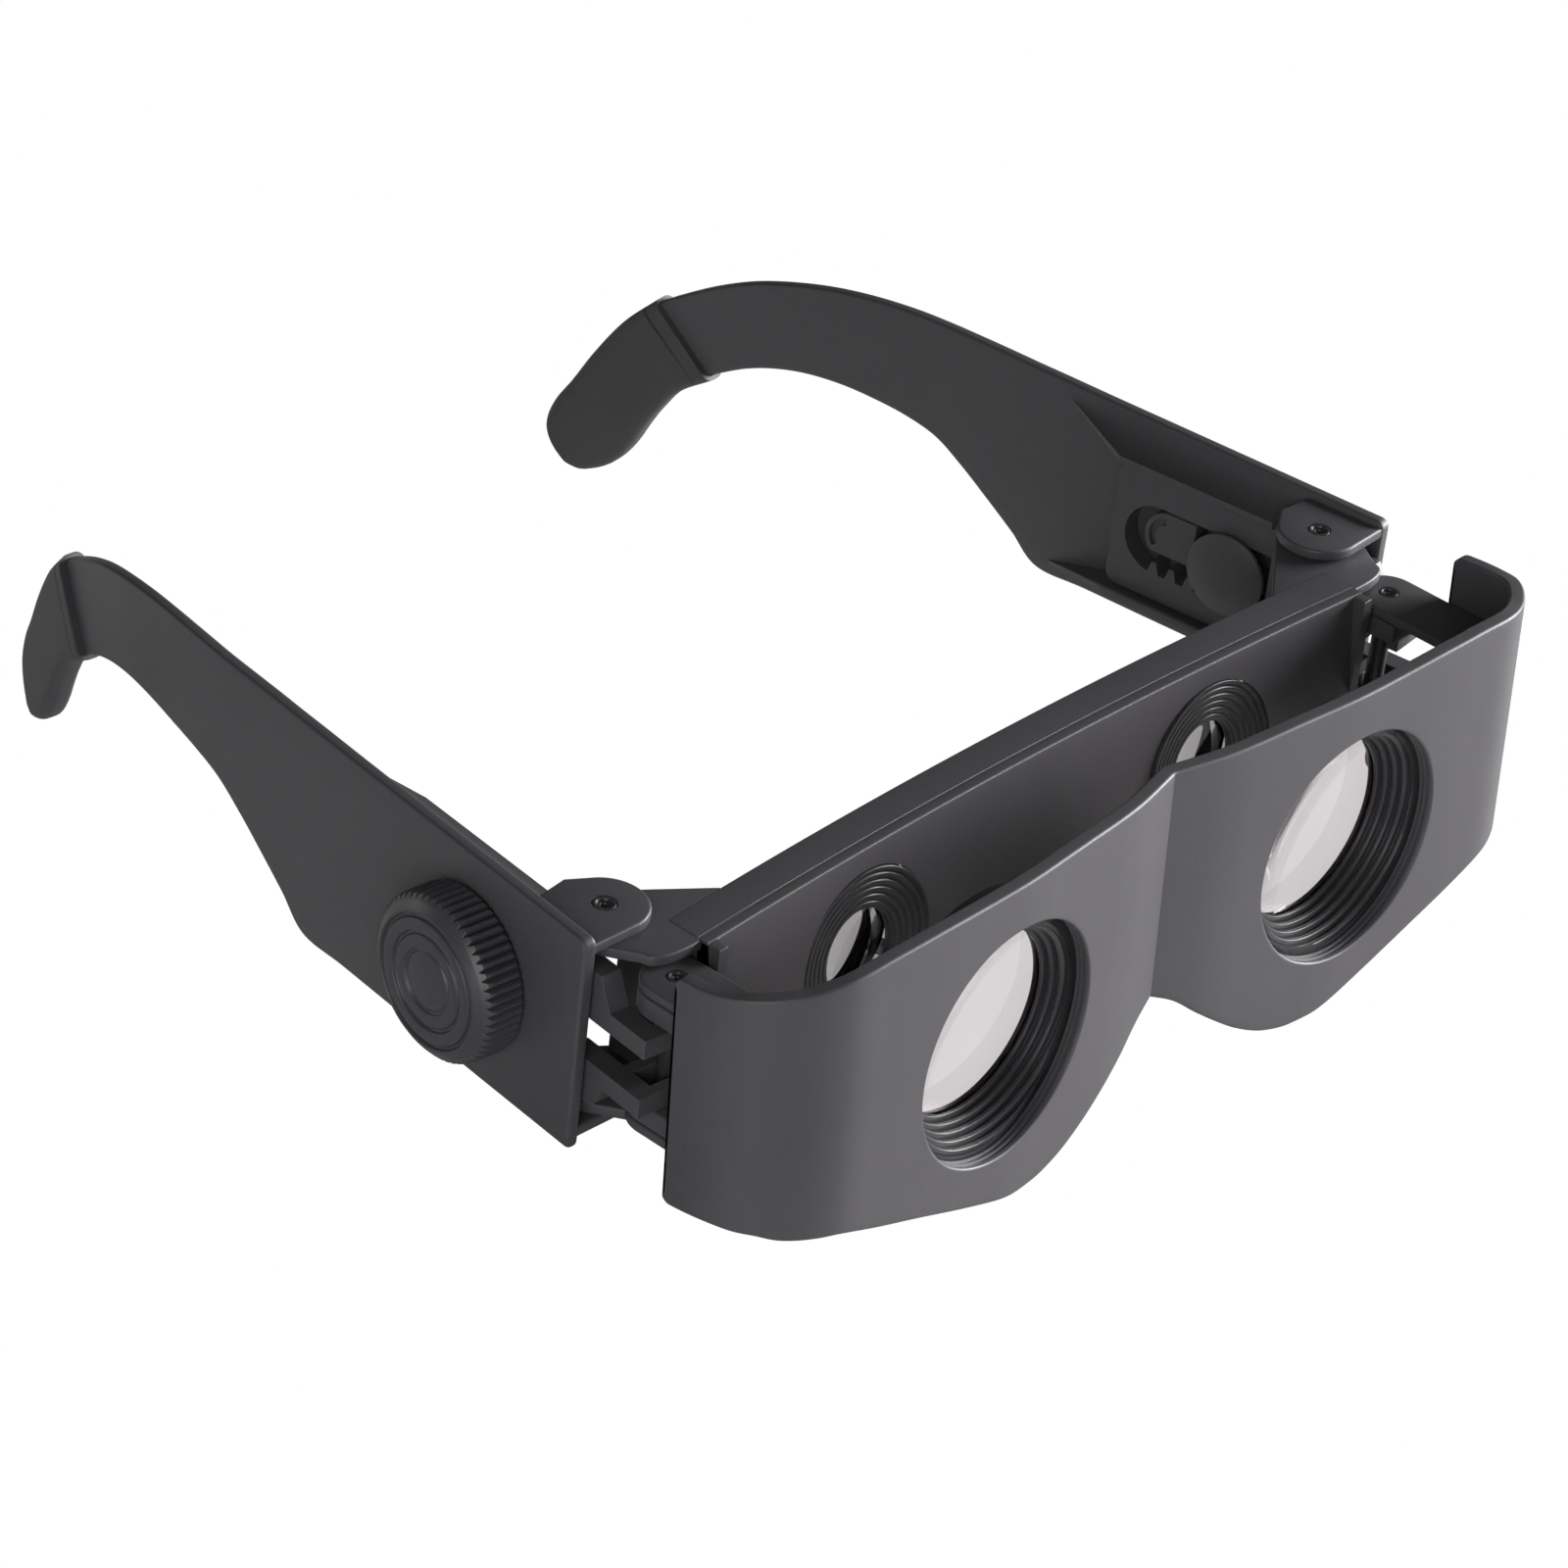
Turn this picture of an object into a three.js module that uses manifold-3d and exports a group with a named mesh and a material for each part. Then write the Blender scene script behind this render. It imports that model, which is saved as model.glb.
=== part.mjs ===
// Binocular glasses: a wrapped front shell with two ribbed lens tubes that slides on a rear eyepiece
// frame, folding temples with toothed slide plates inside, and a focus knob on each temple.
// Millimetres. X points to the wearer's left, Y from the front shell towards the ears, Z up.
// The shapes are laid out with z = 0 on the optical axes, and the finished group is moved so that
// its origin is the bottom centre of its box, on the surface that it rests on.

import * as THREE from 'three';
import { mergeVertices } from 'three/addons/utils/BufferGeometryUtils.js';
import Module from 'manifold-3d';

const wasm = await Module();
wasm.setup();

// Clearances and small values used everywhere
const gap = 0.3;
const cutOverrun = 4;
const mergeTolerance = 0.001;
const roundSteps = 28;
const smallRoundSteps = 12;
const crownSteps = 4;
const roundingLimitShare = 1 / 3;

// Optics
const pupilDistance = 64;
const openingRadius = 15.6;
const eyeHoleRadius = 5.6;

// Front shell
const panelDepth = 16.4;
const panelTop = 22.1;
const lobeDepth = 22.95;
const panelWall = 2;
const panelRim = 0.6;
const panelSideRoom = 0.6;
const restLean = 0.0489;
const panelSteps = 24;
// Rows from the centre crease round to the rear end: x, y, bottom edge and top edge, as shares of
// the half width, the depth, the lobe depth and the top height.
const panelPlanShares = [
  [0, 0.26, 0.434, 0.977],
  [0.05, 0.205, 0.511, 0.979],
  [0.1, 0.155, 0.633, 0.98],
  [0.15, 0.118, 0.747, 0.983],
  [0.2, 0.092, 0.851, 0.986],
  [0.257, 0.066, 0.941, 0.99],
  [0.314, 0.042, 0.995, 0.991],
  [0.343, 0.03, 1.02, 0.991],
  [0.371, 0.018, 1.02, 0.991],
  [0.429, 0.0, 0.973, 0.991],
  [0.529, -0.012, 0.874, 0.992],
  [0.643, -0.026, 0.75, 1],
  [0.743, -0.032, 0.65, 1],
  [0.829, -0.013, 0.565, 0.985],
  [0.871, 0.038, 0.55, 0.965],
  [0.907, 0.114, 0.54, 0.943],
  [0.932, 0.19, 0.53, 0.932],
  [0.957, 0.285, 0.505, 0.92],
  [0.979, 0.41, 0.495, 0.905],
  [0.993, 0.57, 0.49, 0.88],
  [1, 0.76, 0.497, 0.86],
  [1, 0.9, 0.51, 0.85],
  [1, 1, 0.515, 0.84],
];

// Ribbed lens tubes, seen from the front as a stepped funnel
const tubeWall = 2;
const tubeLength = 7.5;
const tubeShoulder = 0.6;
const tubeCollarWall = 1.5;
const tubeCollarLength = 1.5;
const funnelDepth = 6.3;
const funnelThroat = 12.2;
const funnelRibs = 6;
const funnelRibHeight = 0.5;
const frontLensRadius = 13.4;
const frontLensEdge = 1.4;
const frontLensCrown = 1.1;
const retainerHeight = 0.6;

// Rear frame
const wallSetback = 22.6;
const wallBow = 2;
const wallLean = 0.14;
const wallLeanStart = -4;
const wallThickness = 1.8;
const frameHalfSpan = 60.3;
const rimTop = 14.4;
const rimDepth = 6.3;
const rimThickness = 1.5;
const rimEdge = 0.5;
const frameSteps = 16;
const frameDepth = 17;
// Bottom edge of the rear wall: x as a share of the half span, z as a share of the frame depth
const frameBottomShares = [
  [0, 0.4],
  [0.08, 0.46],
  [0.16, 0.66],
  [0.25, 0.88],
  [0.36, 1],
  [0.48, 1],
  [0.62, 0.88],
  [0.78, 0.68],
  [0.9, 0.56],
  [1, 0.535],
];
const endWallThickness = 1.6;
const endWallOvershoot = 1.8;

// Eyepieces, which lean back with the wall
const eyeRingAhead = 0.2;
const eyeRingRadius = 11.4;
const eyeRingSteps = 24;
const eyeRingDepth = 3;
const eyeCollarRadius = 8.4;
const eyeCollarDepth = 6.4;
const eyeSeatDepth = 2.2;
const eyeLensRadius = 6.7;
const eyeLensEdge = 2;
const eyeLensDish = 0.6;
const eyeRidges = 4;
const eyeRidgeWidth = 0.55;
const eyeRidgeHeight = 0.4;
const eyeFunnelDrop = 0.2;

// Hinges: pins, lugs on the frame and ears on the temples, mirrored above and below midHeight
const midHeight = 2.65;
const earTopHeight = 13.55;
const earThickness = 1.5;
const lugThickness = 1.5;
const earRadius = 5.4;
const earRootRear = 5.2;
const earCornerOut = 0.8;
const earCornerAlong = 6.4;
const earFront = 5.8;
const earArcStart = THREE.MathUtils.degToRad(112);
const lugRadius = 5.3;
const lugNeck = 2.65;
const lugArcEnd = THREE.MathUtils.degToRad(126);
const pinRadius = 1.4;
const pinSetback = 12;
const pinDimpleRadius = 0.7;
const pinDimpleDepth = 0.5;
const lugRootOverlap = 9.4;
const lugRootRear = 7.6;
const lugRootFront = 1.6;
const lugFrontWidth = 1.9;
const lugFrontSetback = 4;
const lugCornerWidth = 1.7;

// Side arms of the front shell, which slide between the lugs
const slideTravel = 11.9;
const armShift = 0.1;
const armEndRadius = 4.3;
const armThickness = 1.3;
const armBossDepth = 4.2;
const armBossLength = 4.5;
const armFrontSteps = 6;
const postRadius = 1.2;

// Sizes and places that follow from the ones above
const tubeRadius = openingRadius + tubeWall;
const tubeCollarRadius = frontLensRadius + gap + tubeCollarWall;
const pinX = frameHalfSpan + lugRadius;
const pinY = wallSetback + pinSetback;
const armX = pinX + armShift;
const armEndY = pinY - slideTravel;
const panelHalfWidth = armX + armEndRadius + panelWall + panelSideRoom;

// Temples, in their own frame: out (sideways), along (towards the ear) and up
const toeIn = THREE.MathUtils.degToRad(6.5);
const templeOuter = 7.7;
const templeThickness = 1.8;
const templeChamfer = 0.5;
const templeNose = 5.9;
const templeNoseRound = 1.2;
const templeNoseSteps = 3;
const templeReach = 103;
const templeHeight = 28.8;
const templeBase = -11.75;
const tailCurlStart = 60;
const tailCurlEnd = 118;
const tailCurl = 12;
const tailCurlPower = 1.84;
const templeSteps = 24;
const edgeTension = 0.5;
const tangRows = 2;
const mouthRows = 3;
// Matching points of the top and bottom edge: along as a share of the reach, up as a share of the
// temple height above its base.
const templeEdgeShares = [
  [0.097, 1.005, 0.097, 0.002],
  [0.243, 1.012, 0.243, 0.007],
  [0.35, 1.017, 0.35, 0.012],
  [0.425, 1.022, 0.426, 0.014],
  [0.468, 1.024, 0.47, 0.135],
  [0.515, 1.028, 0.515, 0.25],
  [0.563, 1.03, 0.558, 0.355],
  [0.612, 1.031, 0.602, 0.445],
  [0.66, 1.03, 0.65, 0.49],
  [0.718, 1.019, 0.704, 0.515],
  [0.777, 0.995, 0.752, 0.526],
  [0.835, 0.953, 0.801, 0.519],
  [0.888, 0.898, 0.845, 0.491],
  [0.937, 0.821, 0.883, 0.446],
  [0.981, 0.731, 0.917, 0.384],
  [1.007, 0.671, 0.93, 0.353],
];
const tangShares = [
  [1.0085, 0.6046, 0.9485, 0.3454],
  [1.033, 0.5065, 0.979, 0.2685],
];
const templeFrontShares = [0.998, 0];

// Soft ear sleeves
const sleeveThickness = 4.2;
const sleeveRound = 1.3;
const sleeveSteps = 16;
const sleeveEdgeShares = [
  [1.01, 0.687, 0.926, 0.337],
  [1.052, 0.524, 0.97, 0.225],
  [1.085, 0.335, 0.996, 0.09],
  [1.11, 0.16, 1.012, -0.02],
  [1.13, 0.03, 1.024, -0.115],
  [1.139, -0.085, 1.037, -0.195],
  [1.134, -0.18, 1.053, -0.26],
  [1.118, -0.262, 1.074, -0.303],
  [1.103, -0.297, 1.09, -0.309],
];

// Channel flanges on the inner side of each temple
const flangeRootStart = 5.6;
const flangeLipStart = 7.4;
const flangeTaperStart = 31;
const flangeEnd = 42;
const flangeReach = 4.7;
const flangeLip = 1.2;
const flangeShoulder = 2.9;
const flangeShoulderReach = 2.3;
const flangeRoot = 3.8;
const flangeTipFoot = 3;
const flangeTipHeight = 3.3;
const flangeTipReach = 0.1;
const channelTop = 12.35;
const channelBottom = -6.35;

// Slide plates with the rack
const sliderInner = 2.6;
const sliderRear = 31.4;
const sliderCorner = 2;
const sliderShoulder = 6.6;
const slotHalfHeight = 4.9;
const slotRear = 29.4;
const slotFront = 3.2;
const windowHalfHeight = 2.8;
const noseHalfHeight = 5.4;
const forkWall = 1.6;
const forkReach = 5;
const sliderEdge = 0.4;

// Pinion, rack teeth and the knob on the same shaft
const knobAlong = 13.4;
const toothPitch = 2.75;
const pinionTeeth = 9;
const toothAddendum = 0.75;
const rackToothTip = 0.75;
const rackToothRoot = 1.75;
const pinionToothTip = 0.62;
const pinionToothMid = 1.08;
const pinionToothRoot = 1.3;
const pinionRootRadius = 2.95;
const rackTeethFront = 5;
const rackTeethRear = 4;
const shaftRadius = 1.9;
const stubRadius = 1;
const stubLength = 1.1;
const capRadius = 5.8;
const capRim = 0.6;
const capDome = 0.9;
const knobRadius = 10.6;
const knobHeight = 6.2;
const knobChamferHeight = 2;
const knobShoulderDrop = 0.67;
const knobFaceRadius = 8.7;
const knobRibs = 38;
const knobRibDepth = 0.35;
const knobBoreDepth = 3.4;
const knobGrooveShares = [0.93, 0.69, 0.45];
const knobGrooveWidth = 0.4;
const knobGrooveDepth = 0.35;
const knobGrooveSteps = 18;

// Fixed guide inside the slot, on the temple
const guideAlong = 22.9;
const guideRaise = 1;
const guideRadius = 3.6;
const guideFoot = 2.7;
const guideFront = 18.9;
const guideGrooveOuter = 2.8;
const guideGrooveInner = 2;
const guideGrooveDepth = 0.7;
const guideGrooveStart = THREE.MathUtils.degToRad(-40);
const guideGrooveEnd = THREE.MathUtils.degToRad(75);

// Colours
const shellBlack = '#3d3c40';
const glossBlack = '#17171a';
const knobBlack = '#343437';
const sleeveBlack = '#2c2b2d';
const lensClear = '#e6e4ea';
const pinBlack = '#2a2a2c';

function material(color, roughness, metalness = 0) {
  return new THREE.MeshStandardMaterial({ color, roughness, metalness });
}

function lensMaterial() {
  return new THREE.MeshStandardMaterial({ color: lensClear, roughness: 0.05, transparent: true, opacity: 0.35 });
}

// Six times the volume that the triangles enclose
function signedVolume(position, triangles) {
  const [a, b, c] = [new THREE.Vector3(), new THREE.Vector3(), new THREE.Vector3()];
  let sum = 0;
  for (let i = 0; i < triangles.length; i += 3) {
    a.fromBufferAttribute(position, triangles[i]);
    b.fromBufferAttribute(position, triangles[i + 1]);
    c.fromBufferAttribute(position, triangles[i + 2]);
    sum += a.dot(b.cross(c));
  }
  return sum;
}

// The same shape with shared vertices merged, without empty triangles, and with its faces pointing out
function tidy(geometry) {
  const bare = geometry.clone();
  bare.deleteAttribute('normal');
  bare.deleteAttribute('uv');
  const merged = mergeVertices(bare, mergeTolerance);
  const triangles = [];
  for (let i = 0; i < merged.index.count; i += 3) {
    const [a, b, c] = [merged.index.getX(i), merged.index.getX(i + 1), merged.index.getX(i + 2)];
    if (a !== b && b !== c && c !== a) triangles.push(a, b, c);
  }
  if (signedVolume(merged.attributes.position, triangles) < 0) triangles.reverse();
  merged.setIndex(triangles);
  return merged;
}

function toSolid(geometry) {
  const clean = tidy(geometry);
  return new wasm.Manifold(new wasm.Mesh({
    numProp: 3,
    vertProperties: Float32Array.from(clean.attributes.position.array),
    triVerts: Uint32Array.from(clean.index.array),
  }));
}

function toGeometry(solid) {
  const mesh = solid.getMesh();
  const geometry = new THREE.BufferGeometry();
  geometry.setAttribute('position', new THREE.Float32BufferAttribute(mesh.vertProperties, 3));
  geometry.setIndex(Array.from(mesh.triVerts));
  return geometry;
}

// Joins the first list of shapes and cuts the second list out of them
function combine(added, removed = []) {
  const joined = added.map(toSolid).reduce((sum, next) => sum.add(next));
  return toGeometry(removed.map(toSolid).reduce((rest, next) => rest.subtract(next), joined));
}

// The triangles of a flat end, wound like its outline
function capTriangles(ring) {
  const facing = new THREE.Vector3();
  ring.forEach((point, index) => {
    const next = ring[(index + 1) % ring.length];
    facing.add(new THREE.Vector3(...point).cross(new THREE.Vector3(...next)));
  });
  const sizes = facing.toArray().map(Math.abs);
  const dropped = sizes.indexOf(Math.max(...sizes));
  const [u, v] = [0, 1, 2].filter((axis) => axis !== dropped);
  const outline = ring.map((point) => new THREE.Vector2(point[u], point[v]));
  const outlineTurn = THREE.ShapeUtils.area(outline);
  return THREE.ShapeUtils.triangulateShape(outline, []).map(([a, b, c]) => {
    const turn = THREE.ShapeUtils.area([outline[a], outline[b], outline[c]]);
    return turn * outlineTurn > 0 ? [a, b, c] : [a, c, b];
  });
}

// A closed skin over rings of points, each ring with the same count
function loft(rings) {
  const count = rings[0].length;
  const triangles = [];
  for (let i = 0; i + 1 < rings.length; i += 1) {
    for (let j = 0; j < count; j += 1) {
      const a = i * count + j;
      const b = i * count + ((j + 1) % count);
      triangles.push(a, b, a + count, b, b + count, a + count);
    }
  }
  const last = (rings.length - 1) * count;
  for (const [a, b, c] of capTriangles(rings[0])) triangles.push(a, c, b);
  for (const [a, b, c] of capTriangles(rings[rings.length - 1])) triangles.push(last + a, last + b, last + c);
  const geometry = new THREE.BufferGeometry();
  geometry.setAttribute('position', new THREE.Float32BufferAttribute(rings.flat(2), 3));
  geometry.setIndex(triangles);
  return tidy(geometry);
}

function shapeOf(points) {
  return new THREE.Shape(points.map(([x, y]) => new THREE.Vector2(x, y)));
}

// A flat shape in X and Y, from one height to another
function plate(shape, low, high) {
  const geometry = new THREE.ExtrudeGeometry(shape, {
    depth: high - low, bevelEnabled: false, curveSegments: smallRoundSteps,
  });
  return geometry.translate(0, 0, low);
}

// A flat shape in Y and Z, carried from one x to another
function sidePlate(shape, inner, outer) {
  const geometry = new THREE.ExtrudeGeometry(shape, {
    depth: outer - inner, bevelEnabled: false, curveSegments: smallRoundSteps,
  });
  geometry.rotateX(Math.PI / 2);
  geometry.rotateZ(Math.PI / 2);
  return geometry.translate(inner, 0, 0);
}

function uprightCylinder(radius, low, high, x, y, steps = smallRoundSteps) {
  const geometry = new THREE.CylinderGeometry(radius, radius, high - low, steps);
  return geometry.rotateX(Math.PI / 2).translate(x, y, (low + high) / 2);
}

// A closed profile of radius and depth turned about the optical axis at x
function turned(profile, x, y, steps = roundSteps) {
  const points = [...profile, profile[0]].map(([radius, depth]) => new THREE.Vector2(radius, depth));
  return new THREE.LatheGeometry(points, steps).translate(x, y, 0);
}

// A profile of radius and depth, from axis to axis, turned about the optical axis at x
function turnedSolid(profile, x, y, steps = roundSteps) {
  const points = profile.map(([radius, depth]) => new THREE.Vector2(radius, depth));
  return new THREE.LatheGeometry(points, steps).translate(x, y, 0);
}

// The same, about the sideways axis of the knob
function sideTurned(profile, along, up, steps = roundSteps) {
  const points = profile.map(([radius, out]) => new THREE.Vector2(radius, out));
  return new THREE.LatheGeometry(points, steps).rotateZ(-Math.PI / 2).translate(0, along, up);
}

function mirrored(geometry) {
  return tidy(geometry.clone().scale(-1, 1, 1));
}

const onSide = (geometry, side) => (side > 0 ? geometry : mirrored(geometry));

const group = new THREE.Group();

function addPiece(name, geometry, look, parent = group) {
  const mesh = new THREE.Mesh(tidy(geometry), look);
  mesh.name = name;
  parent.add(mesh);
  return mesh;
}

// Stations round the front shell from one rear end to the other, with the inward direction at each
function panelStations() {
  const edge = (height) => {
    const rows = panelPlanShares.map((row) => (
      new THREE.Vector3(row[0] * panelHalfWidth, row[1] * panelDepth, height(row))));
    return new THREE.CatmullRomCurve3(rows, false, 'centripetal').getPoints(panelSteps);
  };
  const bottom = edge((row) => -row[2] * lobeDepth);
  const top = edge((row) => row[3] * panelTop);
  const half = bottom.map(({ x, y, z }, index) => (
    { x, y, low: Math.max(z, -lobeDepth), high: Math.min(top[index].z, panelTop) }));
  const path = [...half.slice(1).reverse().map((row) => ({ ...row, x: -row.x })), ...half];
  return path.map((row, index) => {
    const before = path[Math.max(index - 1, 0)];
    const after = path[Math.min(index + 1, path.length - 1)];
    const along = new THREE.Vector2(after.x - before.x, after.y - before.y).normalize();
    return { ...row, inwardX: -along.y, inwardY: along.x };
  });
}

// A wall that follows the shell, from one depth behind its outer face to another
function panelWallBetween(outerDepth, innerDepth, rim, extra = 0) {
  const rings = panelStations().map((station) => {
    const low = station.low - extra;
    const high = station.high + extra;
    const section = [
      [outerDepth, low + rim],
      [outerDepth, high - rim],
      [outerDepth + rim, high],
      [innerDepth - rim, high],
      [innerDepth, high - rim],
      [innerDepth, low + rim],
      [innerDepth - rim, low],
      [outerDepth + rim, low],
    ];
    return section.map(([depth, z]) => [
      station.x + station.inwardX * depth,
      station.y + station.inwardY * depth + restLean * z,
      z,
    ]);
  });
  return loft(rings);
}

// Heights above or below the middle: the upper and the lower copy of an arm, a lug or an ear
const mirroredHeights = (from, to, level) => {
  const ends = [midHeight + level * from, midHeight + level * to];
  return [Math.min(...ends), Math.max(...ends)];
};
const lugOuterHeight = earTopHeight - earThickness - gap;
const lugInnerHeight = lugOuterHeight - lugThickness;
const armOuterHeight = lugInnerHeight - gap;
const armInnerHeight = armOuterHeight - armThickness;
const armBossHeight = armOuterHeight - armBossDepth;

// Where the middle of the shell's wall runs, at a sideways place on the wrap
function wallMiddleAt(x, z) {
  const middle = panelStations().filter((station) => station.x > pupilDistance / 2).map((station) => ({
    x: station.x + station.inwardX * (panelWall / 2),
    y: station.y + station.inwardY * (panelWall / 2) + restLean * z,
  }));
  const after = middle.findIndex((point) => point.x > x);
  const [from, to] = [middle[after - 1], middle[after]];
  return THREE.MathUtils.mapLinear(x, from.x, to.x, from.y, to.y);
}

// Plan of a side arm: its front end follows the wall and its rear end is round
function armShape(z) {
  const shape = new THREE.Shape();
  for (let i = 0; i <= armFrontSteps; i += 1) {
    const x = armX - armEndRadius + (2 * armEndRadius * i) / armFrontSteps;
    if (i) shape.lineTo(x, wallMiddleAt(x, z));
    else shape.moveTo(x, wallMiddleAt(x, z));
  }
  shape.absarc(armX, armEndY, armEndRadius, 0, Math.PI, false);
  return shape;
}

function armBossShape() {
  const shape = new THREE.Shape();
  shape.moveTo(armX - armEndRadius, armEndY - armBossLength);
  shape.lineTo(armX + armEndRadius, armEndY - armBossLength);
  shape.absarc(armX, armEndY, armEndRadius, 0, Math.PI, false);
  return shape;
}

function armSolids(side) {
  return [1, -1].flatMap((level) => {
    const [low, high] = mirroredHeights(armInnerHeight, armOuterHeight, level);
    const [bossLow, bossHigh] = mirroredHeights(armBossHeight, armOuterHeight, level);
    return [
      onSide(plate(armShape((low + high) / 2), low, high), side),
      onSide(plate(armBossShape(), bossLow, bossHigh), side),
    ];
  });
}

function frontPanel() {
  const openings = [1, -1].map((side) => (
    turnedSolid([[0, 0], [openingRadius, 0], [openingRadius, panelDepth], [0, panelDepth]],
      side * pupilDistance / 2, -panelDepth / 2)));
  const reach = midHeight + armOuterHeight + cutOverrun;
  const posts = [1, -1].map((side) => (
    uprightCylinder(postRadius + gap, -reach, reach, side * armX, armEndY)));
  return combine([panelWallBetween(0, panelWall, panelRim), ...armSolids(1), ...armSolids(-1)],
    [...openings, ...posts]);
}

function objectiveBarrel(side) {
  const pitch = funnelDepth / funnelRibs;
  const step = (openingRadius - funnelThroat) / funnelRibs;
  const ribs = [];
  for (let i = funnelRibs - 1; i >= 0; i -= 1) {
    const crest = openingRadius - step * (i + 1);
    ribs.push([crest, pitch * (i + 1)]);
    ribs.push([crest, pitch * i + pitch / 2]);
    ribs.push([crest + step + funnelRibHeight, pitch * i + pitch / 2]);
  }
  const collarEnd = tubeLength + tubeCollarLength;
  const profile = [
    [tubeRadius, 0],
    [tubeRadius, tubeLength - tubeShoulder],
    [tubeRadius - tubeShoulder, tubeLength],
    [tubeCollarRadius, tubeLength],
    [tubeCollarRadius, collarEnd],
    [frontLensRadius + gap, collarEnd],
    [frontLensRadius + gap, funnelDepth],
    ...ribs,
    [openingRadius, 0],
  ];
  const tube = turned(profile, side * pupilDistance / 2, 0);
  return combine([tube], [panelWallBetween(-cutOverrun, panelWall + gap, 0, cutOverrun)]);
}

// Points of a shallow crown from the rim to the axis
function crown(radius, rimPlace, rise) {
  const points = [];
  for (let i = 0; i <= crownSteps; i += 1) {
    const share = 1 - i / crownSteps;
    points.push([radius * share, rimPlace + rise * (1 - share * share)]);
  }
  return points;
}

function objectiveLens(side) {
  const front = funnelDepth + gap;
  const profile = [
    ...crown(frontLensRadius, front, -frontLensCrown).reverse(),
    ...crown(frontLensRadius, front + frontLensEdge, frontLensCrown),
  ];
  return turnedSolid(profile, side * pupilDistance / 2, 0);
}

function lensRetainer(side) {
  const front = funnelDepth + frontLensEdge + gap * 2;
  const inner = funnelThroat;
  return turned([
    [frontLensRadius, front],
    [frontLensRadius, front + retainerHeight],
    [inner, front + retainerHeight],
    [inner, front],
  ], side * pupilDistance / 2, 0);
}

// Front face of the rear wall
function wallFace(x, z) {
  const bow = wallBow * (x / frameHalfSpan) ** 2;
  return wallSetback - bow + wallLean * Math.max(z - wallLeanStart, 0);
}

function frameWall() {
  const bottomRows = frameBottomShares.map(([x, low]) => (
    new THREE.Vector3(x * frameHalfSpan, -low * frameDepth, 0)));
  const half = new THREE.CatmullRomCurve3(bottomRows, false, 'centripetal').getPoints(frameSteps);
  const path = [...half.slice(1).reverse().map((p) => new THREE.Vector3(-p.x, p.y, 0)), ...half];
  const underRim = rimTop - rimThickness;
  return loft(path.map(({ x, y: low }) => {
    const lip = wallFace(x, rimTop);
    const section = [
      [wallFace(x, low), low],
      [wallFace(x, wallLeanStart), wallLeanStart],
      [wallFace(x, rimTop - rimEdge), rimTop - rimEdge],
      [lip + rimEdge, rimTop],
      [lip + rimDepth - rimEdge, rimTop],
      [lip + rimDepth, rimTop - rimEdge],
      [lip + rimDepth, underRim],
      [wallFace(x, underRim) + wallThickness, underRim],
      [wallFace(x, wallLeanStart) + wallThickness, wallLeanStart],
      [wallFace(x, low) + wallThickness, low],
    ];
    return section.map(([y, z]) => [x, y, z]);
  }));
}

// Plan of a lug: out from the rim, round the pin, and back along the flare
function lugShape() {
  const rootX = frameHalfSpan - lugRootOverlap;
  const frontX = pinX + lugFrontWidth;
  const frontY = wallSetback + lugRootFront;
  const shape = new THREE.Shape();
  shape.moveTo(rootX, frontY);
  shape.lineTo(frameHalfSpan + lugCornerWidth, frontY);
  shape.quadraticCurveTo(frontX, frontY, frontX, wallSetback + lugFrontSetback);
  shape.lineTo(pinX + lugRadius, pinY - lugNeck);
  shape.absarc(pinX, pinY, lugRadius, 0, lugArcEnd, false);
  shape.lineTo(rootX, wallSetback + lugRootRear);
  return shape;
}

function endWallShape() {
  const inner = frameHalfSpan - endWallThickness;
  const front = wallFace(frameHalfSpan, wallLeanStart) + endWallThickness / 2;
  const rear = pinY + endWallOvershoot;
  return shapeOf([[inner, front], [frameHalfSpan, front], [frameHalfSpan, rear], [inner, rear]]);
}

function rearFrame() {
  const ends = [1, -1].flatMap((side) => {
    const lugs = [1, -1].map((level) => {
      const [low, high] = mirroredHeights(lugInnerHeight, lugOuterHeight, level);
      return onSide(plate(lugShape(), low, high), side);
    });
    const wallEnds = [midHeight - lugOuterHeight, midHeight + lugOuterHeight];
    return [...lugs, onSide(plate(endWallShape(), ...wallEnds), side)];
  });
  const holes = [1, -1].flatMap((side) => [
    turnedSolid([[0, 0], [eyeRingRadius + gap, 0], [eyeRingRadius + gap, pinY], [0, pinY]],
      side * pupilDistance / 2, 0),
    uprightCylinder(pinRadius + gap, midHeight - earTopHeight, midHeight + earTopHeight, side * pinX, pinY),
  ]);
  return combine([frameWall(), ...ends], holes);
}

// An eyepiece part turned about the optical axis at one side, then leaned back with the wall
function leaned(profile, side, steps, turner) {
  const place = wallFace(pupilDistance / 2, 0) - eyeRingAhead;
  const lean = new THREE.Matrix4().makeShear(0, 0, 0, 0, 0, wallLean);
  return turner(profile, side * pupilDistance / 2, place, steps).applyMatrix4(lean);
}

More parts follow.
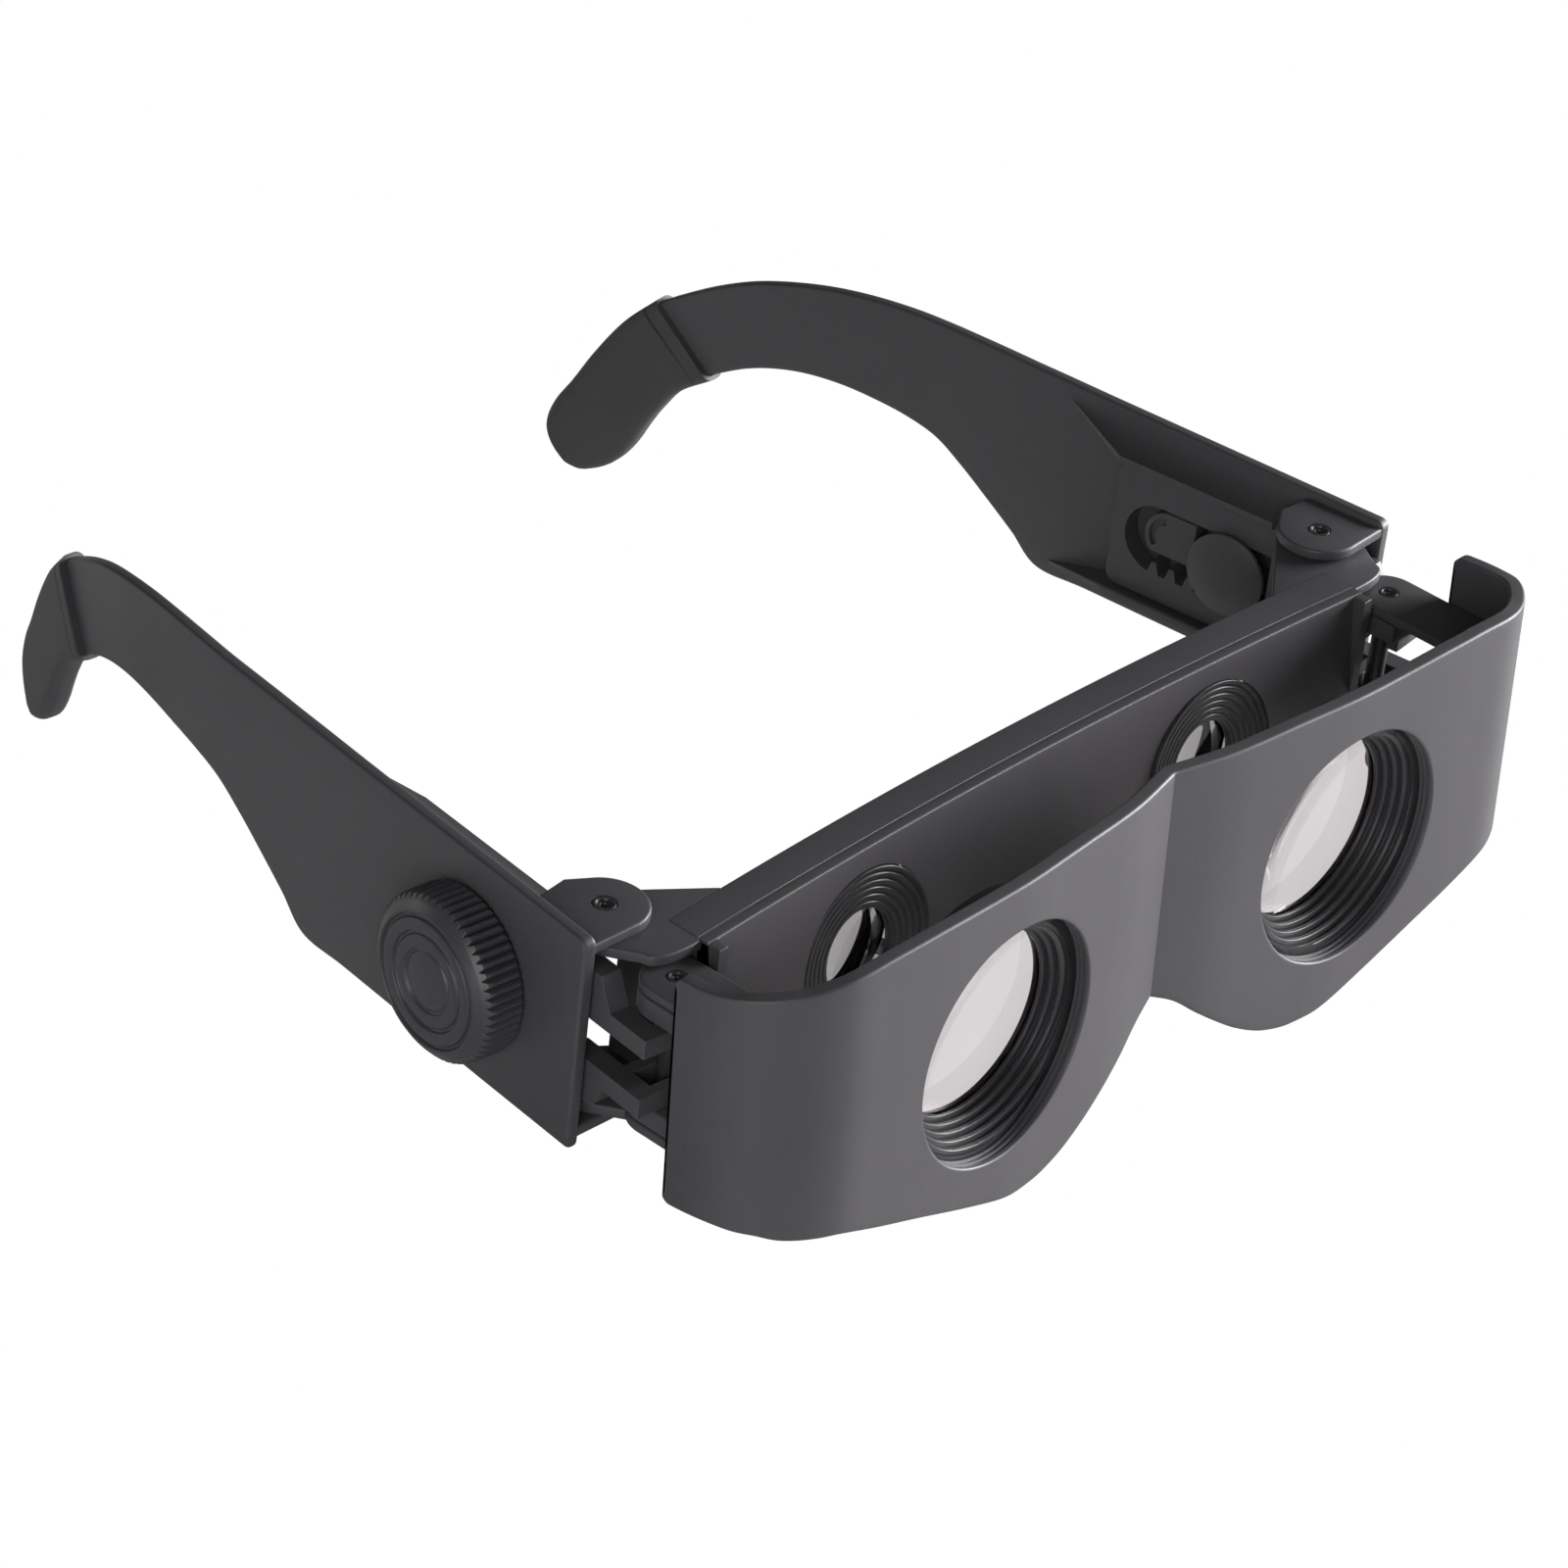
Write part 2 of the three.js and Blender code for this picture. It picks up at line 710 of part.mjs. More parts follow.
function eyepieceRing(side) {
  const pitch = (eyeRingRadius - eyeHoleRadius) / eyeRidges;
  const ridges = [];
  for (let i = 0; i < eyeRidges; i += 1) {
    const outer = eyeRingRadius - pitch * i;
    const front = eyeFunnelDrop * i;
    ridges.push([outer, front]);
    ridges.push([outer - eyeRidgeWidth, front]);
    ridges.push([outer - eyeRidgeWidth, front + eyeRidgeHeight]);
    ridges.push([outer - pitch, front + eyeRidgeHeight]);
  }
  const profile = [
    ...ridges,
    [eyeHoleRadius, eyeSeatDepth],
    [eyeLensRadius + gap, eyeSeatDepth],
    [eyeLensRadius + gap, eyeCollarDepth],
    [eyeCollarRadius, eyeCollarDepth],
    [eyeCollarRadius, eyeRingDepth],
    [eyeRingRadius, eyeRingDepth],
  ];
  return leaned(profile, side, eyeRingSteps, turned);
}

function eyepieceLens(side) {
  const front = eyeSeatDepth + gap;
  const profile = [
    ...crown(eyeLensRadius, front, eyeLensDish).reverse(),
    ...crown(eyeLensRadius, front + eyeLensEdge, -eyeLensDish),
  ];
  return leaned(profile, side, smallRoundSteps, turnedSolid);
}

function eyepieceRetainer(side) {
  const front = eyeSeatDepth + eyeLensEdge + gap * 2;
  const profile = [
    [eyeLensRadius, front],
    [eyeLensRadius, front + retainerHeight],
    [eyeHoleRadius, front + retainerHeight],
    [eyeHoleRadius, front],
  ];
  return leaned(profile, side, smallRoundSteps, turned);
}

// A pin with a dimple in its visible end
function dimpledPin(radius, low, high, x, y, dimpleAtTop) {
  const end = dimpleAtTop ? [high - pinDimpleDepth, high + cutOverrun] : [low - cutOverrun, low + pinDimpleDepth];
  return combine([uprightCylinder(radius, low, high, x, y)], [
    uprightCylinder(pinDimpleRadius, ...end, x, y),
  ]);
}

// How far the tail has curled inwards at a place along the temple
function curlAt(along) {
  const share = Math.max(along - tailCurlStart, 0) / (tailCurlEnd - tailCurlStart);
  return tailCurl * share ** tailCurlPower;
}

// Top and bottom edges in real sizes, as matching points along a smooth curve
function edgePairs(shares, steps) {
  const at = (column) => shares.map((row) => new THREE.Vector3(
    row[column] * templeReach, templeBase + row[column + 1] * templeHeight, 0));
  const smooth = (points) => (
    new THREE.CatmullRomCurve3(points, false, 'catmullrom', edgeTension).getPoints(steps));
  const tops = smooth(at(0));
  const bottoms = smooth(at(2));
  return tops.map((top, index) => ({ top, bottom: bottoms[index] }));
}

// A blade between matching edges, with its long edges rounded off
function blade(pairs, outer, thickness, edgeRound) {
  return loft(pairs.map(({ top, bottom }) => {
    const rise = new THREE.Vector3().subVectors(top, bottom);
    const round = Math.min(edgeRound, rise.length() * roundingLimitShare);
    rise.normalize();
    const points = [];
    const place = (edge, offset, out) => {
      const along = edge.x + rise.x * offset;
      const up = Math.max(edge.y + rise.y * offset, -lobeDepth);
      points.push([outer - out - curlAt(along), along, up]);
    };
    place(bottom, round, 0);
    place(bottom, 0, round);
    place(bottom, 0, thickness - round);
    place(bottom, round, thickness);
    place(top, -round, thickness);
    place(top, 0, thickness - round);
    place(top, 0, round);
    place(top, -round, 0);
    return points;
  }));
}

// The temple's edges from its nose, where the top corner is round, to the mouth of the sleeve
function templePairs() {
  const [high, low] = templeFrontShares.map((share) => templeBase + share * templeHeight);
  const nose = [];
  for (let i = 0; i <= templeNoseSteps; i += 1) {
    const angle = (i * Math.PI) / 2 / templeNoseSteps;
    const along = -templeNose + templeNoseRound * (1 - Math.cos(angle));
    const drop = templeNoseRound * (1 - Math.sin(angle));
    nose.push({ top: new THREE.Vector3(along, high - drop, 0), bottom: new THREE.Vector3(along, low, 0) });
  }
  return [...nose, ...edgePairs(templeEdgeShares, templeSteps)];
}

// Plan of an ear: from the temple's root, round the pin
function earShape() {
  const shape = new THREE.Shape();
  const root = templeOuter - templeThickness + gap;
  shape.moveTo(root, -earFront);
  shape.lineTo(root, earRootRear);
  shape.lineTo(earCornerOut, earCornerAlong);
  shape.absarc(0, 0, earRadius, earArcStart, (3 * Math.PI) / 2, false);
  return shape;
}

// Section of a channel flange: a lip at the slide plate, and a slope up to the temple's edge
function flangeSection(level) {
  const root = templeOuter - templeThickness;
  const base = level > 0 ? channelTop : channelBottom;
  return [
    [root + gap, base],
    [root - flangeReach, base],
    [root - flangeReach, base + level * flangeLip],
    [root - flangeShoulderReach, base + level * flangeShoulder],
    [root + gap, base + level * flangeRoot],
  ];
}

// The sliver that the flange thins out to at its rear end, point for point like its section
function flangeTip(level) {
  const root = templeOuter - templeThickness;
  const base = level > 0 ? channelTop : channelBottom;
  return [
    [root + gap, base + level * flangeTipFoot],
    [root - flangeTipReach, base + level * flangeTipFoot],
    [root - flangeTipReach, base + level * flangeTipHeight],
    [root - flangeTipReach / 2, base + level * (flangeTipHeight + flangeRoot) / 2],
    [root + gap, base + level * flangeRoot],
  ];
}

// A flange with a slanted front end, which fades into the temple at its rear end
function flange(level) {
  const root = templeOuter - templeThickness;
  const front = (out) => (
    THREE.MathUtils.mapLinear(out, root, root - flangeReach, flangeRootStart, flangeLipStart));
  return loft([
    flangeSection(level).map(([out, up]) => [out, front(out), up]),
    flangeSection(level).map(([out, up]) => [out, flangeTaperStart, up]),
    flangeTip(level).map(([out, up]) => [out, flangeEnd, up]),
  ]);
}

// The fixed guide in the slot: a block with a round rear end and a curved groove in its face
function guide() {
  const root = templeOuter - templeThickness;
  const height = midHeight + guideRaise;
  const footAngle = Math.asin(guideFoot / guideRadius);
  const block = new THREE.Shape();
  block.moveTo(guideFront, height - guideFoot);
  block.absarc(guideAlong, height, guideRadius, -footAngle, Math.PI / 2, false);
  block.lineTo(guideFront, height + guideRadius);
  const groove = new THREE.Shape();
  groove.absarc(guideAlong, height, guideGrooveOuter, guideGrooveStart, guideGrooveEnd, false);
  groove.absarc(guideAlong, height, guideGrooveInner, guideGrooveEnd, guideGrooveStart, true);
  return combine([sidePlate(block, sliderInner, root + gap)], [
    sidePlate(groove, sliderInner - cutOverrun, sliderInner + guideGrooveDepth),
  ]);
}

function temple() {
  const root = templeOuter - templeThickness;
  const plateSolid = blade(templePairs(), templeOuter, templeThickness, templeChamfer);
  const tang = blade(edgePairs(tangShares, tangRows), templeOuter, templeThickness, templeChamfer);
  const link = blade(
    [templePairs().at(-1), edgePairs(tangShares, tangRows)[0]], templeOuter, templeThickness, templeChamfer);
  const ears = [1, -1].map((level) => (
    plate(earShape(), ...mirroredHeights(earTopHeight - earThickness, earTopHeight, level))));
  const pinHole = uprightCylinder(pinRadius + gap, midHeight - templeHeight, midHeight + templeHeight, 0, 0);
  const shaftHole = sideTurned(
    [[0, root - cutOverrun], [shaftRadius + gap, root - cutOverrun],
      [shaftRadius + gap, templeOuter + cutOverrun], [0, templeOuter + cutOverrun]],
    knobAlong, midHeight, smallRoundSteps);
  return combine(
    [plateSolid, link, tang, flange(1), flange(-1), guide(), ...ears],
    [pinHole, shaftHole],
  );
}

// A pair of matching edge points moved apart by the gap, and onward along the blade
function widened({ top, bottom }, onward = 0) {
  const rise = new THREE.Vector3().subVectors(top, bottom).normalize();
  const ahead = new THREE.Vector3(rise.y, -rise.x, 0).multiplyScalar(onward);
  rise.multiplyScalar(gap);
  return { top: top.clone().add(rise).add(ahead), bottom: bottom.clone().sub(rise).add(ahead) };
}

function earSleeve() {
  const outer = templeOuter + (sleeveThickness - templeThickness) / 2;
  const skin = blade(edgePairs(sleeveEdgeShares, sleeveSteps), outer, sleeveThickness, sleeveRound);
  const ends = templePairs().slice(-mouthRows);
  const seat = widened(ends.at(-1), gap);
  const pocketPairs = [seat, ...edgePairs(tangShares, tangRows).map((pair) => widened(pair, gap))];
  const mouthPairs = [...ends.map((pair) => widened(pair)), seat];
  return combine([skin], [mouthPairs, pocketPairs].map((pairs) => (
    blade(pairs, templeOuter + gap, templeThickness + gap * 2, templeChamfer))));
}

const pitchRadius = (toothPitch * pinionTeeth) / (2 * Math.PI);
const pitchLine = midHeight - pitchRadius;
const slotFloor = midHeight - slotHalfHeight;
const forkAlong = (() => {
  const ahead = pinY - armEndY;
  return -(ahead * Math.cos(toeIn) + (armX - pinX) * Math.sin(toeIn));
})();

function rackTooth(along) {
  const tip = pitchLine + toothAddendum;
  return shapeOf([
    [along - rackToothRoot / 2, slotFloor - gap],
    [along + rackToothRoot / 2, slotFloor - gap],
    [along + rackToothRoot / 2, slotFloor],
    [along + rackToothTip / 2, tip],
    [along - rackToothTip / 2, tip],
    [along - rackToothRoot / 2, slotFloor],
  ]);
}

// The slide plate: a wide rear part with the toothed slot, and two prongs that end in forks
function rackSlider() {
  const outer = templeOuter - templeThickness - sliderEdge;
  const low = channelBottom + gap;
  const high = channelTop - gap;
  const noseTip = forkAlong - postRadius - gap - forkWall;
  const outline = new THREE.Shape();
  outline.moveTo(noseTip, midHeight - noseHalfHeight);
  outline.lineTo(-sliderShoulder - sliderCorner, midHeight - noseHalfHeight);
  outline.lineTo(-sliderShoulder, low);
  outline.lineTo(sliderRear - sliderCorner, low);
  outline.quadraticCurveTo(sliderRear, low, sliderRear, low + sliderCorner);
  outline.lineTo(sliderRear, high - sliderCorner);
  outline.quadraticCurveTo(sliderRear, high, sliderRear - sliderCorner, high);
  outline.lineTo(-sliderShoulder, high);
  outline.lineTo(-sliderShoulder - sliderCorner, midHeight + noseHalfHeight);
  outline.lineTo(noseTip, midHeight + noseHalfHeight);
  const slot = new THREE.Shape();
  const frontCentre = -slotFront + slotHalfHeight;
  const rearCentre = slotRear - slotHalfHeight;
  slot.moveTo(frontCentre, midHeight - slotHalfHeight);
  slot.lineTo(rearCentre, midHeight - slotHalfHeight);
  slot.absarc(rearCentre, midHeight, slotHalfHeight, -Math.PI / 2, Math.PI / 2, false);
  slot.lineTo(frontCentre, midHeight + slotHalfHeight);
  slot.absarc(frontCentre, midHeight, slotHalfHeight, Math.PI / 2, (3 * Math.PI) / 2, false);
  const window = shapeOf([
    [noseTip - cutOverrun, midHeight - windowHalfHeight],
    [0, midHeight - windowHalfHeight],
    [0, midHeight + windowHalfHeight],
    [noseTip - cutOverrun, midHeight + windowHalfHeight],
  ]);
  const teeth = [];
  for (let i = -rackTeethFront; i <= rackTeethRear; i += 1) {
    teeth.push(sidePlate(rackTooth(knobAlong + i * toothPitch), sliderInner, outer));
  }
  const body = combine([sidePlate(outline, sliderInner, outer)], [
    sidePlate(slot, sliderInner - cutOverrun, outer + cutOverrun),
    sidePlate(window, sliderInner - cutOverrun, outer + cutOverrun),
  ]);
  const reach = postRadius + gap;
  const tines = [1, -1].flatMap((level) => {
    const [foot, head] = mirroredHeights(windowHalfHeight, noseHalfHeight, level);
    return [
      [forkAlong - reach - forkWall, forkAlong - reach],
      [forkAlong + reach, forkAlong + reach + forkWall],
    ].map(([from, to]) => (
      sidePlate(shapeOf([[from, foot], [to, foot], [to, head], [from, head]]), sliderInner - forkReach, outer)));
  });
  return combine([body, ...teeth, ...tines]);
}

// Outline of the pinion, with a gap pointing straight down at the rack tooth below it
function pinionShape() {
  const tipRadius = pitchRadius + toothAddendum;
  const points = [];
  for (let i = 0; i < pinionTeeth; i += 1) {
    const centre = -Math.PI / 2 + ((i + 1 / 2) * 2 * Math.PI) / pinionTeeth;
    const corner = (radius, width, hand) => {
      const angle = centre + (hand * width) / 2 / radius;
      points.push([knobAlong + radius * Math.cos(angle), midHeight + radius * Math.sin(angle)]);
    };
    corner(pinionRootRadius, pinionToothRoot, -1);
    corner(pitchRadius, pinionToothMid, -1);
    corner(tipRadius, pinionToothTip, -1);
    corner(tipRadius, pinionToothTip, 1);
    corner(pitchRadius, pinionToothMid, 1);
    corner(pinionRootRadius, pinionToothRoot, 1);
  }
  return shapeOf(points);
}

function pinion() {
  const inner = sliderInner + gap;
  const outer = templeOuter - templeThickness - gap;
  const shaftEnd = templeOuter + gap + knobBoreDepth - gap;
  const shaft = sideTurned([[0, inner], [shaftRadius, inner], [shaftRadius, shaftEnd], [0, shaftEnd]],
    knobAlong, midHeight, smallRoundSteps);
  const stub = sideTurned(
    [[0, inner - stubLength], [stubRadius, inner - stubLength], [stubRadius, inner + gap], [0, inner + gap]],
    knobAlong, midHeight, smallRoundSteps);
  return combine([sidePlate(pinionShape(), inner, outer), shaft, stub]);
}

function pinionCap() {
  const back = sliderInner - gap;
  const bore = back - stubLength + gap;
  const dome = crown(capRadius, back - capRim, -capDome).reverse();
  return sideTurned([
    ...dome,
    [capRadius, back],
    [stubRadius + gap, back],
    [stubRadius + gap, bore],
    [0, bore],
  ], knobAlong, midHeight, roundSteps);
}

function knobRing(radius, ripple, out) {
  const points = [];
  for (let i = 0; i < knobRibs * 2; i += 1) {
    const angle = (i * Math.PI) / knobRibs;
    const here = radius - (i % 2 ? ripple : 0);
    points.push([out, knobAlong + here * Math.cos(angle), midHeight + here * Math.sin(angle)]);
  }
  return points;
}

function focusKnob() {
  const base = templeOuter + gap;
  const face = base + knobHeight;
  const middle = face - knobShoulderDrop;
  const body = loft([
    knobRing(knobRadius, knobRibDepth, base),
    knobRing(knobRadius, knobRibDepth, face - knobChamferHeight),
    knobRing((knobRadius + knobFaceRadius) / 2 + knobRibDepth, knobRibDepth, middle),
    knobRing(knobFaceRadius, 0, face),
  ]);
  const bore = sideTurned(
    [[0, base - cutOverrun], [shaftRadius + gap, base - cutOverrun],
      [shaftRadius + gap, base + knobBoreDepth], [0, base + knobBoreDepth]],
    knobAlong, midHeight, smallRoundSteps);
  const grooves = knobGrooveShares.map((share) => {
    const outer = knobFaceRadius * share;
    return sideTurned([
      [outer, face - knobGrooveDepth],
      [outer, face + cutOverrun],
      [outer - knobGrooveWidth, face + cutOverrun],
      [outer - knobGrooveWidth, face - knobGrooveDepth],
      [outer, face - knobGrooveDepth],
    ], knobAlong, midHeight, knobGrooveSteps);
  });
  return combine([body], [bore, ...grooves]);
}

// Pieces that stay with the front shell or the rear frame
addPiece('front_panel', frontPanel(), material(shellBlack, 0.55));
addPiece('rear_frame', rearFrame(), material(shellBlack, 0.55));
for (const [side, hand] of [[1, 'left'], [-1, 'right']]) {
  addPiece(`objective_barrel_${hand}`, objectiveBarrel(side), material(glossBlack, 0.25));
  addPiece(`objective_lens_${hand}`, objectiveLens(side), lensMaterial());
  addPiece(`lens_retainer_${hand}`, lensRetainer(side), material(glossBlack, 0.4));
  addPiece(`eyepiece_ring_${hand}`, eyepieceRing(side), material(glossBlack, 0.35));
  addPiece(`eyepiece_lens_${hand}`, eyepieceLens(side), lensMaterial());
  addPiece(`eyepiece_retainer_${hand}`, eyepieceRetainer(side), material(glossBlack, 0.4));
  const [postLow, postHigh] = [midHeight - armOuterHeight, midHeight + armOuterHeight];
  addPiece(`arm_post_${hand}`, dimpledPin(postRadius, postLow, postHigh, side * armX, armEndY, true),
    material(pinBlack, 0.35));
  for (const [level, word] of [[1, 'upper'], [-1, 'lower']]) {
    const [low, high] = mirroredHeights(lugInnerHeight, earTopHeight, level);
    addPiece(`hinge_pin_${word}_${hand}`, dimpledPin(pinRadius, low, high, side * pinX, pinY, level > 0),
      material(pinBlack, 0.35));
  }
}

// Pieces that fold with each temple, in the temple's own frame at its hinge pins
for (const [side, hand] of [[1, 'left'], [-1, 'right']]) {
  const arm = new THREE.Group();
  arm.position.set(side * pinX, pinY, 0);
  arm.rotation.z = side * toeIn;
  addPiece(`temple_${hand}`, onSide(temple(), side), material(shellBlack, 0.6), arm);
  addPiece(`ear_sleeve_${hand}`, onSide(earSleeve(), side), material(sleeveBlack, 0.75), arm);
  addPiece(`rack_slider_${hand}`, onSide(rackSlider(), side), material(shellBlack, 0.5), arm);
  addPiece(`pinion_${hand}`, onSide(pinion(), side), material(glossBlack, 0.4), arm);
  addPiece(`pinion_cap_${hand}`, onSide(pinionCap(), side), material(shellBlack, 0.4), arm);
  addPiece(`focus_knob_${hand}`, onSide(focusKnob(), side), material(knobBlack, 0.5), arm);
  group.add(arm);
}

// The origin goes to the bottom centre of the whole box
group.updateMatrixWorld(true);
const box = new THREE.Box3().setFromObject(group, true);
group.position.set(-(box.min.x + box.max.x) / 2, -(box.min.y + box.max.y) / 2, -box.min.z);
group.updateMatrixWorld(true);

export default group;
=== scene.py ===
import math

import bmesh
import bpy
import numpy as np
from mathutils import Matrix, Vector


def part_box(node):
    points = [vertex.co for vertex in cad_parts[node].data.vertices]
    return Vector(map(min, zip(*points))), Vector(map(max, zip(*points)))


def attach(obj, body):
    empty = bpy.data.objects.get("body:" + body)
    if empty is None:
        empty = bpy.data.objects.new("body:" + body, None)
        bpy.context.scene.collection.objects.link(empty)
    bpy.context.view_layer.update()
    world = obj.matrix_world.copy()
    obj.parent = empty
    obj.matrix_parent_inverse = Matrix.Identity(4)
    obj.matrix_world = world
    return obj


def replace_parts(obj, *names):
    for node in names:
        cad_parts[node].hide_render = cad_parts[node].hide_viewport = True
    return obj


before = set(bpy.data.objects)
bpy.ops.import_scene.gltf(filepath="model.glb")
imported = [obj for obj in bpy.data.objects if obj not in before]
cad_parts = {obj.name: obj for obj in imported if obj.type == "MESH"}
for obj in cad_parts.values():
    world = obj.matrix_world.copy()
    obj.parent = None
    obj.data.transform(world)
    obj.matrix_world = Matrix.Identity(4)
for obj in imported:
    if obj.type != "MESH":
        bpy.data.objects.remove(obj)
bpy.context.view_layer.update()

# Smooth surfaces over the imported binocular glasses, in millimetres, with the lens axes at z = 0 and
# the front shell at y = 0. X is the wearer's left and Y runs to the ears.

mm = 1000  # millimetres in a metre
sides = {"left": 1, "right": -1}
layers = {"Upper": 1, "Lower": -1}

# Sizes that several pieces share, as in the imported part
eyes = {"spacing": 64.0, "opening": 15.6, "wall": 2.0, "lean": 0.0489}
hinge = {"x": 65.6, "y": 34.6, "middle": 2.65, "toe": math.radians(6.5), "knob": 13.4, "hole": 1.55}
# Faces of a hinge's flat layers, above and below its middle
heights = {"ear": 13.55, "earInner": 12.05, "lug": 11.75, "lugInner": 10.25, "arm": 9.95, "armInner": 8.65,
           "boss": 5.75}

# Where the shapes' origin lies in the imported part, from two nodes
pinLow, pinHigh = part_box("hinge_pin_upper_left")
lensLow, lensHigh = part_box("objective_lens_left")
place = np.array([0.0, mm * (pinLow.y + pinHigh.y) / 2 - hinge["y"], mm * (lensLow.z + lensHigh.z) / 2])


# A hex colour as the linear values that shaders work in.
def linear(code):
    parts = [int(code[i:i + 2], 16) / 255 for i in (1, 3, 5)]
    return tuple(c / 12.92 if c <= 0.04045 else ((c + 0.055) / 1.055) ** 2.4 for c in parts) + (1.0,)


# Height of a layer's face, above or below the hinge's middle.
def layerHeight(name, level):
    return hinge["middle"] + level * heights[name]


# Even angles from 0 to 90 degrees, for rounded edges.
def quarter(steps):
    return np.linspace(0, math.pi / 2, steps + 1)


# Points of a circle's arc; its two angles are in turns of pi.
def arc(cx, cy, radius, start, end, steps):
    a = np.linspace(start * math.pi, end * math.pi, steps + 1)
    return np.column_stack([cx + radius * np.cos(a), cy + radius * np.sin(a)])


# A bend from start to end round a corner, by shares of (1 - t) squared, 2 t (1 - t) and t squared.
def bend(start, corner, end, steps):
    t = np.linspace(0, 1, steps + 1)[:, None]
    return (1 - t) ** 2 * np.asarray(start) + 2 * t * (1 - t) * np.asarray(corner) + t**2 * np.asarray(end)


# A Catmull-Rom curve: cubics whose end slopes come from the neighbouring points. Power 0.25 is
# centripetal and 0 is uniform.
def spline(points, perPiece, power):
    p = np.asarray(points, float)
    p = np.vstack([2 * p[0] - p[1], p, 2 * p[-1] - p[-2]])
    t = np.arange((len(p) - 3) * perPiece + 1) / perPiece
    piece = np.minimum(t.astype(int), len(p) - 4)
    w = (t - piece)[:, None]
    a, b, c, d = (p[piece + i] for i in range(4))
    if power:
        ab, bc, cd = (np.sum((q - r) ** 2, 1, keepdims=True) ** power for q, r in ((b, a), (c, b), (d, c)))
    else:
        ab = bc = cd = np.ones((len(t), 1))
    start = ((b - a) / ab - (c - a) / (ab + bc) + (c - b) / bc) * bc
    end = ((c - b) / bc - (d - b) / (bc + cd) + (d - c) / cd) * bc
    return b + start * w + (3 * (c - b) - 2 * start - end) * w**2 + (2 * (b - c) + start + end) * w**3


# A profile with its corners replaced by small bends, which reach at most 0.45 of a side.
def rounded(profile, radius, steps=3):
    p = np.asarray(profile, float)
    out = [p[0]]
    for a, b, c in zip(p[:-2], p[1:-1], p[2:]):
        first, last = a - b, c - b
        la, lc = np.linalg.norm(first), np.linalg.norm(last)
        reach = min(radius, 0.45 * la, 0.45 * lc)
        out.extend(bend(b + first / la * reach, b, b + last / lc * reach, steps))
    out.append(p[-1])
    return np.array(out)


# A closed outline moved inwards: each corner goes along the mean of its two edges' normals.
def offsetOutline(outline, inset):
    p = np.asarray(outline, float)
    area = np.sum(p[:, 0] * np.roll(p[:, 1], -1) - p[:, 1] * np.roll(p[:, 0], -1))
    edge = np.roll(p, -1, 0) - p
    edge /= np.linalg.norm(edge, axis=1, keepdims=True)
    normal = np.stack([-edge[:, 1], edge[:, 0]], 1) * np.sign(area)
    mean = normal + np.roll(normal, 1, 0)
    scale = np.clip(np.sum(mean * normal, 1, keepdims=True), 0.5, None)
    return p + mean / scale * inset


# A plate with rounded edges: each ring is the outline moved in by the edge's radius times one less the
# sine of an angle, at that radius times one less the cosine from a face.
def slab(outline, bottom, top, edge, steps=4):
    inset, rise = edge * (1 - np.sin(quarter(steps))), edge * (1 - np.cos(quarter(steps)))
    rings = [*zip(inset, bottom + rise), *zip(inset[::-1], top - rise[::-1])]
    flat = [np.column_stack([offsetOutline(outline, i), np.full(len(outline), z)]) for i, z in rings]
    return np.stack(flat)


# The same with its outline in a temple's side plane.
def sidewaysSlab(*sizes):
    return slab(*sizes)[..., [2, 0, 1]]


# Rings of a profile of (radius, depth) about an axis: the radius times the cosine and the sine of each
# angle. ripple may change the radius.
def turned(profile, centre, steps, ripple=None, axis="y"):
    angle = np.linspace(0, 2 * math.pi, steps, endpoint=False)
    radius = np.asarray(profile)[:, :1] + 0 * angle
    depth = np.asarray(profile)[:, 1:] + 0 * angle
    if ripple is not None:
        radius = ripple(radius, angle)
    first, second = radius * np.cos(angle), radius * np.sin(angle)
    order = {"y": [first, depth, second], "out": [depth, first, second], "z": [first, second, depth]}[axis]
    return np.stack(order, -1) + np.asarray(centre)


# A profile turned about the left lens axis, set back and leaning back by a share of the height.
def onLensAxis(profile, steps, back, lean):
    grid = turned(profile, (eyes["spacing"] / 2, back, 0), steps)
    grid[..., 1] += lean * grid[..., 2]
    return grid


# Points as (out, along, up) in a temple's own frame, turned by the toe-in about the left hinge.
def inTemple(points):
    out, along, up = points[..., 0], points[..., 1], points[..., 2]
    c, s = math.cos(hinge["toe"]), math.sin(hinge["toe"])
    return np.stack([hinge["x"] + out * c - along * s, hinge["y"] + out * s + along * c, up], -1)


# Corner numbers of the squares of a grid, as one array.
def quads(rows, columns, offset=0, wrap=False):
    i = np.arange(rows - 1)[:, None]
    j = np.arange(columns if wrap else columns - 1)[None, :]
    k = (j + 1) % columns
    square = np.stack([i * columns + j, i * columns + k, (i + 1) * columns + k, (i + 1) * columns + j], -1)
    return square.reshape(-1, 4) + offset


